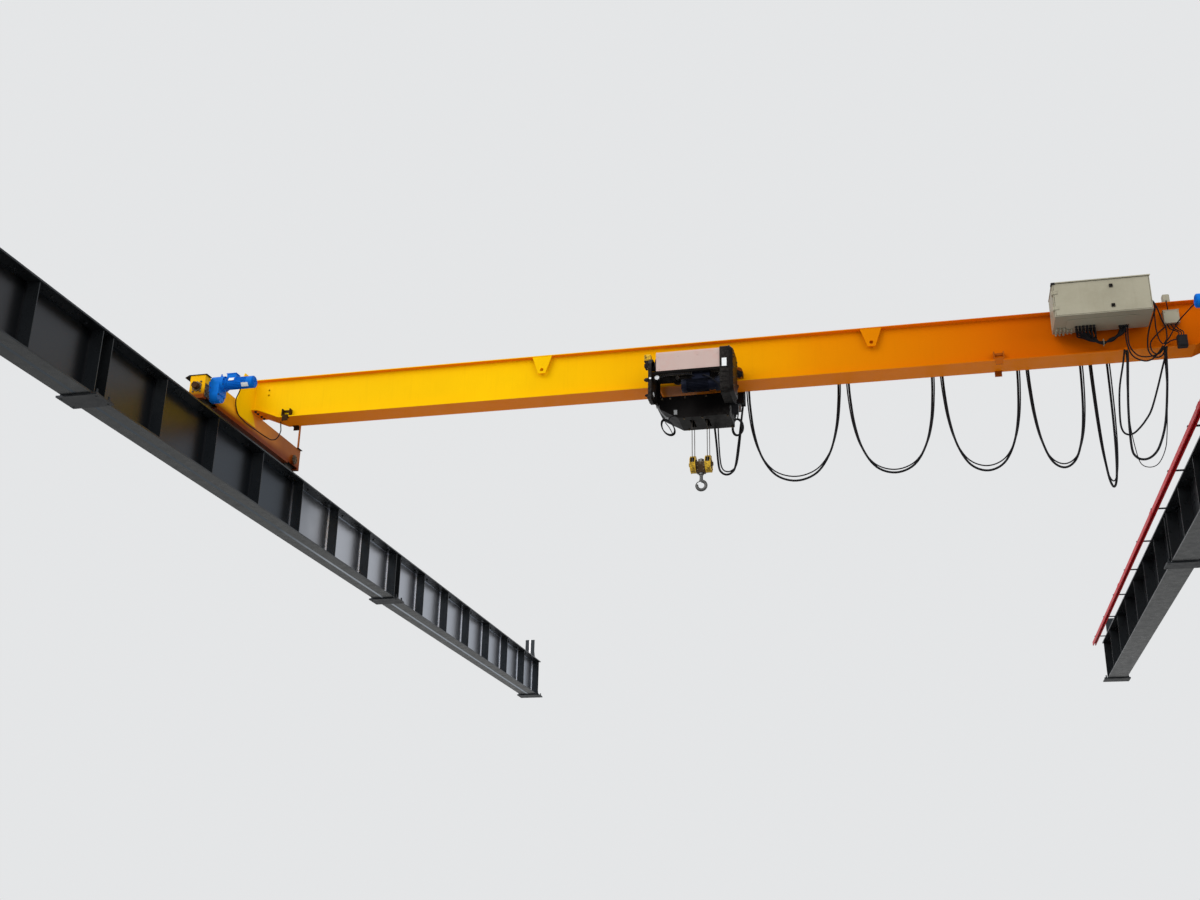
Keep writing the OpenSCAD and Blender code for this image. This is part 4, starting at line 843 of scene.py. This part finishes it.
for x in SHEAVES:
    for edge in (x - COVER_HALF, x + COVER_HALF):
        arc = [(edge, CRANE_Y + 0.103 * math.cos(a), BLOCK_Z + 0.103 * math.sin(a))
               for a in (math.radians(v) for v in range(140, 401, 10))]
        rims.tube(arc, 0.0035, 8)
rims.make()
marks = Piece("cover_marks", "hook_block", "hoist_black")
for x, out in OUTER_FACES:
    low, high = sorted((x, x + out * 0.0015))
    for z in (0.07, 0.15):
        marks.box((low, CRANE_Y - 0.05, z), (high, CRANE_Y + 0.05, z + 0.022))
marks.make()

LATCH_X, LATCH_Z = HOOK_X - 0.018, HOOK_Z + 0.058
latch = Piece("hook_latch", "hook", "hook_steel")
latch.rod((LATCH_X, CRANE_Y - 0.026, LATCH_Z), (LATCH_X, CRANE_Y + 0.026, LATCH_Z), 0.006)
latch.box((LATCH_X - 0.006, CRANE_Y - 0.012, LATCH_Z - 0.008),
          (LATCH_X + 0.006, CRANE_Y + 0.012, LATCH_Z + 0.008), 0.002)
latch.tube([(LATCH_X - 0.002, CRANE_Y, LATCH_Z - 0.002), (LATCH_X - 0.034, CRANE_Y, LATCH_Z - 0.022),
            (LATCH_X - 0.05, CRANE_Y, LATCH_Z - 0.045)], 0.0055, 10)
for k in range(3):
    z = BLOCK_Z + 0.062 + 0.003 * k
    latch.rod((HOOK_X, CRANE_Y, z), (HOOK_X, CRANE_Y, z + 0.003), 0.026 - 0.004 * k, sides=6)
latch.make()


# Cables and switches at the hoist's right lower corner and its left one

GUIDE_X, GUIDE_Z = 6.435, 1.205
guide = Piece("trolley_guide", "trolley", "stop_brown")
for y0, y1, r, sides in ((3.215, 3.285, 0.05, 28), (3.2, 3.216, 0.03, 24), (3.19, 3.201, 0.014, 6)):
    guide.rod((GUIDE_X, y0, GUIDE_Z), (GUIDE_X, y1, GUIDE_Z), r, sides=sides)
guide.make()
corner = Piece("hoist_corner_switch", "trolley", "electrics_dark")
corner.box((6.35, 3.19, 0.655), (6.43, 3.25, 0.775), 0.005)
corner.box((6.33, 3.2, 0.775), (6.4, 3.24, 0.9), 0.003)
corner.rod((6.39, 3.22, 0.62), (6.39, 3.22, 0.656), 0.014, sides=8)
corner.make()
holder = Piece("cable_holder", "trolley", "track_zinc")
holder.box((6.328, 3.21, 0.83), (6.335, 3.25, 0.9))
holder.box((6.33, 3.194, 0.845), (6.372, 3.2, 0.895), 0.001)
holder.box((6.34, 3.69, 0.88), (6.4, 3.71, 0.984), 0.002)
holder.make()


def hank(piece, middle, radius, height, r, turns, seed, lean=0.0):
    """Some loose turns of cable, each a little off the last."""
    mix = random.Random(seed)
    for _ in range(turns):
        x, z = middle[0] + mix.uniform(-0.008, 0.008), middle[2] + mix.uniform(-0.01, 0.01)
        y = middle[1] + mix.uniform(-0.02, 0.02)
        piece.tube([(x + radius * (math.cos(a) + lean * math.sin(a)), y + 0.012 * math.cos(2 * a),
                     z + height * math.sin(a)) for a in angles(32)], r, 8, closed=True)


coil = Piece("hoist_cable_coil", "trolley", "cable_black")
hank(coil, (6.35, 3.7, 0.68), 0.062, 0.105, 0.0075, 4, 4)
coil.cable([(6.35, 3.7, 0.78), (6.36, 3.7, 0.85), (6.37, 3.7, 0.98)], 0.0075)
coil.cable([(6.34, 3.705, 0.78), (6.3, 3.705, 0.86), (6.29, 3.7, 0.98)], 0.0075)
coil.cable([(6.4, 3.2, 0.9), (6.42, 3.21, 0.96), (6.43, 3.24, 1.02), (6.42, 3.26, 1.04)], 0.007)
coil.make()
arm = Piece("left_cable_arm", "trolley", "track_zinc")
arm.tube([(5.47, 3.19, 0.8), (5.52, 3.182, 0.72), (5.575, 3.18, 0.655)], 0.009, 10)
arm.box((5.455, 3.178, 0.785), (5.49, 3.19, 0.835), 0.002)
arm.box((5.56, 3.17, 0.625), (5.6, 3.19, 0.66), 0.003)
arm.box((5.665, 3.18, 0.69), (5.705, 3.187, 0.75), 0.002)
arm.make()
coil = Piece("left_cable_coil", "trolley", "cable_black")
hank(coil, (5.602, 3.18, 0.53), 0.07, 0.1, 0.007, 3, 7, lean=-0.55)
coil.cable([(5.56, 3.18, 0.6), (5.61, 3.175, 0.53), (5.65, 3.18, 0.45)], 0.005)
coil.cable([(5.6, 3.18, 0.62), (5.62, 3.185, 0.66), (5.66, 3.2, 0.68)], 0.006)
coil.make()

# The second cable of the hoist's loop
HOIST_LOOP_2 = [
    (6.42, 3.774, 1.367), (6.42, 3.778, 1.2), (6.4, 3.775, 0.9), (6.372, 3.755, 0.55), (6.33, 3.735, 0.24),
    (6.28, 3.722, 0.15), (6.212, 3.716, 0.128), (6.155, 3.712, 0.17), (6.13, 3.71, 0.3), (6.115, 3.71, 0.6),
    (6.11, 3.71, 0.88), (6.11, 3.71, 0.98),
]
hung_cable("hoist_loop_2", "trolley", "hoist_cable", HOIST_LOOP_2, 0.0085, 10)


# Control cabinet: hems, latches, hinge pads, glands, the cables under it and their loops

CAB_X0, CAB_X1 = 10.01, 11.03
CAB_Y0, CAB_Y1 = 2.785, 3.225
CAB_Z0, CAB_Z1 = 1.345, 1.76
DOOR_Y = 2.7647
trim = Piece("cabinet_rims", "bridge", "cabinet_grey")
trim.box((CAB_X0 - 0.006, CAB_Y0 - 0.03, CAB_Z1 - 0.006), (CAB_X1 + 0.006, CAB_Y1, CAB_Z1 - 0.0005), 0.001)
trim.box((CAB_X0 - 0.006, CAB_Y0 - 0.034, CAB_Z1 - 0.013), (CAB_X1 + 0.006, CAB_Y0 - 0.029, CAB_Z1 - 0.001))
trim.box((CAB_X0 - 0.005, CAB_Y0 + 0.02, CAB_Z0 + 0.02), (CAB_X0, CAB_Y0 + 0.032, CAB_Z1 - 0.02))
trim.box((CAB_X0 - 0.004, CAB_Y1 - 0.06, CAB_Z0 + 0.03), (CAB_X0, CAB_Y1 - 0.02, CAB_Z1 - 0.03))
trim.box((10.14, 2.87, CAB_Z0 - 0.006), (10.9, 3.16, CAB_Z0), 0.002)
trim.make()
LATCH_HALF = 0.019
door = Piece("door_trim", "cabinet_door", "hoist_black")
for z in (1.425, 1.665):
    x = CAB_X0 + 0.612
    door.box((x - LATCH_HALF, DOOR_Y - 0.016, z - LATCH_HALF),
             (x + LATCH_HALF, DOOR_Y - 0.002, z + LATCH_HALF), 0.003)
    door.box((x - 0.004, DOOR_Y - 0.019, z - 0.012), (x + 0.004, DOOR_Y - 0.014, z + 0.012))
z0, z1, x0, x1 = CAB_Z0 + 0.012, CAB_Z1 - 0.012, CAB_X0 + 0.012, CAB_X1 - 0.012
for a, b in (((x0, z0), (x1, z0)), ((x0, z1), (x1, z1)), ((x0, z0), (x0, z1)), ((x1, z0), (x1, z1))):
    door.box((a[0] - 0.0015, DOOR_Y - 0.0012, a[1] - 0.0015), (b[0] + 0.0015, DOOR_Y + 0.002, b[1] + 0.0015))
door.make()
HINGE_X = CAB_X0 + 0.036
pads = Piece("hinge_pads", "cabinet_door", "cabinet_grey")
for z in (1.43, 1.62):
    pads.box((CAB_X0 + 0.004, DOOR_Y - 0.006, z - 0.004), (CAB_X0 + 0.05, DOOR_Y + 0.002, z + 0.044), 0.002)
    for dz in (0.008, 0.032):
        pads.rod((HINGE_X, DOOR_Y - 0.009, z + dz), (HINGE_X, DOOR_Y - 0.005, z + dz), 0.006, sides=8)
pads.make()
cap = Piece("cabinet_cap", "bridge", "carrier_black")
cap.box((CAB_X0 - 0.012, CAB_Y0 - 0.036, CAB_Z1 - 0.024), (CAB_X0 + 0.034, CAB_Y0 + 0.04, CAB_Z1), 0.004)
for x in (10.72, 10.75, 10.78):
    cap.rod((x, 3.12, CAB_Z0), (x, 3.12, CAB_Z0 - 0.03), 0.016, sides=8)
cap.make()


def cable_glands(name, slot, places, collar, neck):
    """Glands under the cabinet, each a collar and a neck of (radius, sides, lower end)."""
    piece = Piece(name, "bridge", slot)
    for x, y in places:
        top = CAB_Z0
        for r, sides, drop in (collar, neck):
            piece.rod((x, y, top), (x, y, CAB_Z0 - drop), r, sides=sides)
            top = CAB_Z0 - drop
    piece.make()


GREY_XS = (10.045, 10.085, 10.125, 10.165, 10.205)
GREY_PLACES = [(x, y) for i, x in enumerate(GREY_XS) for y in ((3.08, 3.14, 3.2) if i < 3 else (3.11, 3.17))]
DARK_YS = (3.05, 3.12, 3.19)
DARK_PLACES = [(i, 10.25 + 0.038 * i + 0.01 * j, y) for i in range(6) for j, y in enumerate(DARK_YS)]
cable_glands("cabinet_glands", "cabinet_grey", GREY_PLACES, (0.015, 8, 0.014), (0.011, 14, 0.034))
cable_glands("cabinet_dark_glands", "carrier_black", [(x, y) for _, x, y in DARK_PLACES], (0.016, 8, 0.018),
             (0.011, 12, 0.04))

bundle = Piece("cabinet_bundle", "bridge", "cable_black")
mix = random.Random(5)
for i, x, y in DARK_PLACES:
    j1, j2 = mix.uniform(-0.012, 0.012), mix.uniform(-0.014, 0.014)
    route = [(x, y, CAB_Z0 - 0.035), (x + 0.008, y, CAB_Z0 - 0.075 - 0.006 * i),
             (10.4 + 0.01 * i, 3.14 + j1, 1.2 + j2), (10.52 + j2 * 0.5, 3.14 + j2, 1.155 + j1),
             (10.62 + j1, 3.14 + j1, 1.185 + j2), (10.7 + 0.008 * i, 3.13 + j2, 1.25 + j1),
             (10.72 + 0.03 * (i % 3), 3.12, CAB_Z0 - 0.025)]
    bundle.tube(smooth_path(route, 5), 0.0085, 7)
bundle.make()
ties = Piece("bundle_ties", "bridge", "cabinet_grey")
ties.ring((10.53, 3.14, 1.158), 0.04, 0.003, 24, 6)
ties.make()

# The cables beside and under the cabinet's right end, each with its radius first
CABINET_LOOPS = [
    (0.0085, [(10.79, 3.1, CAB_Z0), (10.783, 3.14, 1.32), (10.776, 3.17, 1.169), (10.817, 3.19, 1.001),
              (10.927, 3.19, 0.922), (11.02, 3.19, 0.935), (11.11, 3.2, 1.03), (11.17, 3.21, 1.12),
              (11.2, 3.235, 1.17)]),
    (0.0075, [(10.81, 3.1, CAB_Z0), (10.803, 3.14, 1.32), (10.8, 3.17, 1.12), (10.876, 3.19, 0.996),
              (10.992, 3.19, 0.967), (11.09, 3.19, 1.0), (11.16, 3.19, 1.08), (11.23, 3.18, 1.13),
              (11.3, 3.165, 1.14)]),
    (0.0085, [(11.03, 3.1, 1.6), (11.08, 3.12, 1.6), (11.12, 3.17, 1.54), (11.04, 3.18, 1.33),
              (11.0, 3.19, 1.171), (10.995, 3.19, 1.03), (11.05, 3.19, 0.955), (11.131, 3.19, 0.973),
              (11.18, 3.2, 1.09)]),
    (0.0075, [(11.03, 3.12, 1.63), (11.09, 3.14, 1.63), (11.14, 3.18, 1.55), (11.175, 3.19, 1.4),
              (11.205, 3.19, 1.29), (11.195, 3.19, 1.15), (11.15, 3.19, 1.05), (11.09, 3.19, 0.99),
              (11.03, 3.19, 1.03), (11.03, 3.2, 1.14), (11.12, 3.25, 1.26), (11.21, 3.29, 1.35)]),
    (0.007, [(11.03, 3.08, 1.57), (11.07, 3.1, 1.565), (11.1, 3.15, 1.49), (11.1, 3.18, 1.3),
             (11.12, 3.19, 1.16), (11.16, 3.2, 1.1)]),
]
loops = Piece("cabinet_loops", "bridge", "cable_black")
for r, points in CABINET_LOOPS:
    loops.cable(points, r)
loops.make()
side_glands = Piece("cabinet_side_glands", "bridge", "carrier_black")
for y, z in ((3.1, 1.6), (3.12, 1.63), (3.08, 1.57)):
    side_glands.rod((CAB_X1, y, z), (CAB_X1 + 0.02, y, z), 0.014, sides=8)
side_glands.make()

# Boxes on the girder's right end, and the cables between them
boxes = Piece("end_boxes", "bridge", "cabinet_grey")
boxes.box((11.205, WEB_FRONT - 0.075, 1.37), (11.37, WEB_FRONT, 1.53), 0.004)
boxes.box((11.2, WEB_FRONT - 0.079, 1.524), (11.375, WEB_FRONT, 1.532), 0.002)
boxes.box((11.225, 3.25, 1.635), (11.3, 3.33, 1.74), 0.006)
for x in (11.22, 11.355):
    for z in (1.385, 1.51):
        boxes.bolt((x, WEB_FRONT - 0.075, z), (0, -1, 0), 0.004)
boxes.make()
CONTROL_Y, CONTROL_TOP = 3.17, 1.175
CONTROL_XS = [11.32 + 0.026 * k for k in range(3)]
controller = Piece("end_controller", "bridge", "electrics_dark")
controller.box((11.295, 3.128, 1.035), (11.4, 3.2, CONTROL_TOP), 0.005)
controller.box((11.305, 3.2, 1.1), (11.39, WEB_FRONT, 1.108), 0.001)
controller.box((11.31, 3.122, 1.05), (11.385, 3.129, 1.16), 0.002)
for x in CONTROL_XS:
    controller.rod((x, CONTROL_Y, CONTROL_TOP), (x, CONTROL_Y, CONTROL_TOP + 0.015), 0.009, sides=8)
controller.make()
wires = Piece("end_wires", "bridge", "cable_black")
for k, x in enumerate(CONTROL_XS):
    box_x = 11.24 + 0.04 * k
    wires.cable([(x, CONTROL_Y, CONTROL_TOP + 0.01), (x + 0.004, CONTROL_Y + 0.01, 1.23),
                 (box_x + 0.02, WEB_FRONT - 0.05, 1.31), (box_x, WEB_FRONT - 0.035, 1.37)], 0.006)
wires.cable([(11.26, 3.25, 1.66), (11.255, 3.225, 1.62), (11.26, 3.235, 1.57), (11.265, 3.26, 1.532)], 0.006)
wires.make()

# The inner and the thin cable of the loop at the right end
BRIDGE_LOOP_2 = [
    (11.185, 3.18, 1.07), (11.165, 3.18, 0.98), (11.117, 3.18, 0.842), (11.03, 3.18, 0.58),
    (10.938, 3.18, 0.333), (10.865, 3.18, 0.215), (10.798, 3.18, 0.135), (10.73, 3.18, 0.075),
    (10.668, 3.18, 0.062), (10.618, 3.18, 0.11), (10.606, 3.18, 0.25), (10.64, 3.18, 0.6),
    (10.71, 3.18, 0.9), (10.745, 3.18, 1.07),
]
BRIDGE_LOOP_3 = [
    (11.155, 3.198, 1.07), (11.15, 3.198, 0.95), (11.12, 3.198, 0.5), (11.062, 3.198, 0.04),
    (11.02, 3.198, -0.14), (10.94, 3.198, -0.282), (10.848, 3.198, -0.32), (10.762, 3.198, -0.272),
    (10.726, 3.198, -0.1), (10.705, 3.198, 0.2), (10.72, 3.198, 0.6), (10.755, 3.198, 0.95),
    (10.755, 3.198, 1.07),
]
hung_cable("bridge_loop_2", "bridge", "bridge_cable", BRIDGE_LOOP_2, 0.0105, 10)
hung_cable("bridge_loop_3", "bridge", "bridge_cable", BRIDGE_LOOP_3, 0.005, 10)


# Cable trolleys: two saddle rods with their clamp bolts, and a collar where each cable leaves

for i, (low, high) in enumerate(CARRIERS):
    middle = (low[0] + high[0]) / 2
    saddle = Piece(f"carrier_saddle_{i}", f"cable_carrier_{i}", "carrier_black")
    for s in (-1, 1):
        y, z = TRACK_Y + s * 0.0125, CARRIER_LOW + 0.012
        saddle.rod((middle - 0.07, y, z), (middle + 0.07, y, z), 0.011, sides=12)
        for dx in (-0.05, 0.0, 0.05):
            saddle.bolt((middle + dx, TRACK_Y + s * 0.02, CARRIER_LOW + 0.034), (0, s, 0), 0.005)
    for x in (middle - CABLE_EXIT, middle + CABLE_EXIT):
        collar = [(x + 0.0165 * math.cos(a), TRACK_Y + 0.0165 * math.sin(a), CARRIER_LOW - 0.006)
                  for a in angles(20)]
        saddle.tube(collar, 0.004, 8, closed=True)
    saddle.make()


# Stage, lights and camera

LAMP_ANGLE = 0.8
LAMP_AIM = (6, 4, 1)


def make_floor():
    mesh = bpy.data.meshes.new("studio_floor")
    half = 60.0
    corners = [(-half, -half), (half, -half), (half, half), (-half, half)]
    mesh.from_pydata([(6 + x, 4 + y, FLOOR_Z) for x, y in corners], [], [(0, 1, 2, 3)])
    floor = bpy.data.objects.new("studio_floor", mesh)
    bpy.context.scene.collection.objects.link(floor)
    m = Nodes("studio_floor")
    shade = m.mix(m.noise(0.4), (0.44, 0.44, 0.43, 1), (0.5, 0.5, 0.49, 1))
    m.put(m.shader.inputs["Base Color"], shade)
    m.shader.inputs["Roughness"].default_value = 0.9
    # Seen from underneath, the floor is left out, so that the crane shows there too
    clear = m.tree.nodes.new("ShaderNodeBsdfTransparent")
    choose = m.tree.nodes.new("ShaderNodeMixShader")
    back = m.tree.nodes.new("ShaderNodeNewGeometry").outputs["Backfacing"]
    m.tree.links.new(back, choose.inputs[0])
    m.tree.links.new(m.shader.outputs[0], choose.inputs[1])
    m.tree.links.new(clear.outputs[0], choose.inputs[2])
    m.tree.links.new(choose.outputs[0], m.tree.nodes["Material Output"].inputs["Surface"])
    mesh.materials.append(m.material)


def make_world():
    """Soft light that is brighter from above than from below, and a pale background."""
    world = bpy.data.worlds.new("studio")
    bpy.context.scene.world = world
    world.use_nodes = True
    tree = world.node_tree
    tree.nodes.clear()

    def new(kind):
        return tree.nodes.new("ShaderNode" + kind)

    link = tree.links.new
    split, lift, ramp = new("SeparateXYZ"), new("MapRange"), new("ValToRGB")
    light, seen, choose = new("Background"), new("Background"), new("MixShader")
    link(new("TexCoord").outputs["Generated"], split.inputs[0])
    lift.inputs["From Min"].default_value = -1.0
    lift.inputs["From Max"].default_value = 1.0
    link(split.outputs[2], lift.inputs["Value"])
    link(lift.outputs["Result"], ramp.inputs["Fac"])
    below, level, above = (0.26, 0.26, 0.27, 1), (0.62, 0.63, 0.65, 1), (0.8, 0.8, 0.8, 1)
    ramp.color_ramp.elements[0].color = below
    ramp.color_ramp.elements[1].color = above
    ramp.color_ramp.elements.new(0.5).color = level
    link(ramp.outputs["Color"], light.inputs["Color"])
    seen.inputs["Color"].default_value = (0.78, 0.79, 0.8, 1)
    link(new("LightPath").outputs["Is Camera Ray"], choose.inputs[0])
    link(light.outputs[0], choose.inputs[1])
    link(seen.outputs[0], choose.inputs[2])
    link(choose.outputs[0], new("OutputWorld").inputs["Surface"])


def make_lamp(name, at, towards, power, colour):
    """A soft sun that shines from one point towards another."""
    data = bpy.data.lights.new(name, "SUN")
    data.energy = power
    data.color = colour
    data.angle = LAMP_ANGLE
    lamp = bpy.data.objects.new(name, data)
    lamp.location = at
    lamp.rotation_euler = (Vector(towards) - Vector(at)).to_track_quat("-Z", "Y").to_euler()
    bpy.context.scene.collection.objects.link(lamp)


def make_camera():
    data = bpy.data.cameras.new("camera")
    data.lens = CAMERA_LENS
    data.sensor_width = SENSOR_W
    data.clip_end = 500
    camera = bpy.data.objects.new("camera", data)
    turn = (Matrix.Rotation(math.radians(CAMERA_YAW), 4, "Z")
            @ Matrix.Rotation(math.radians(90 + CAMERA_PITCH), 4, "X")
            @ Matrix.Rotation(math.radians(CAMERA_ROLL), 4, "Z"))
    camera.matrix_world = Matrix.Translation(CAMERA_AT) @ turn
    bpy.context.scene.collection.objects.link(camera)
    bpy.context.scene.camera = camera


make_floor()
make_world()
make_lamp("key", (-6, -14, 12), LAMP_AIM, 1.2, (1, 0.98, 0.94))
make_lamp("fill", (22, -16, 2), LAMP_AIM, 0.9, (1, 0.98, 0.95))
make_camera()
bpy.context.scene.view_settings.view_transform = "Standard"
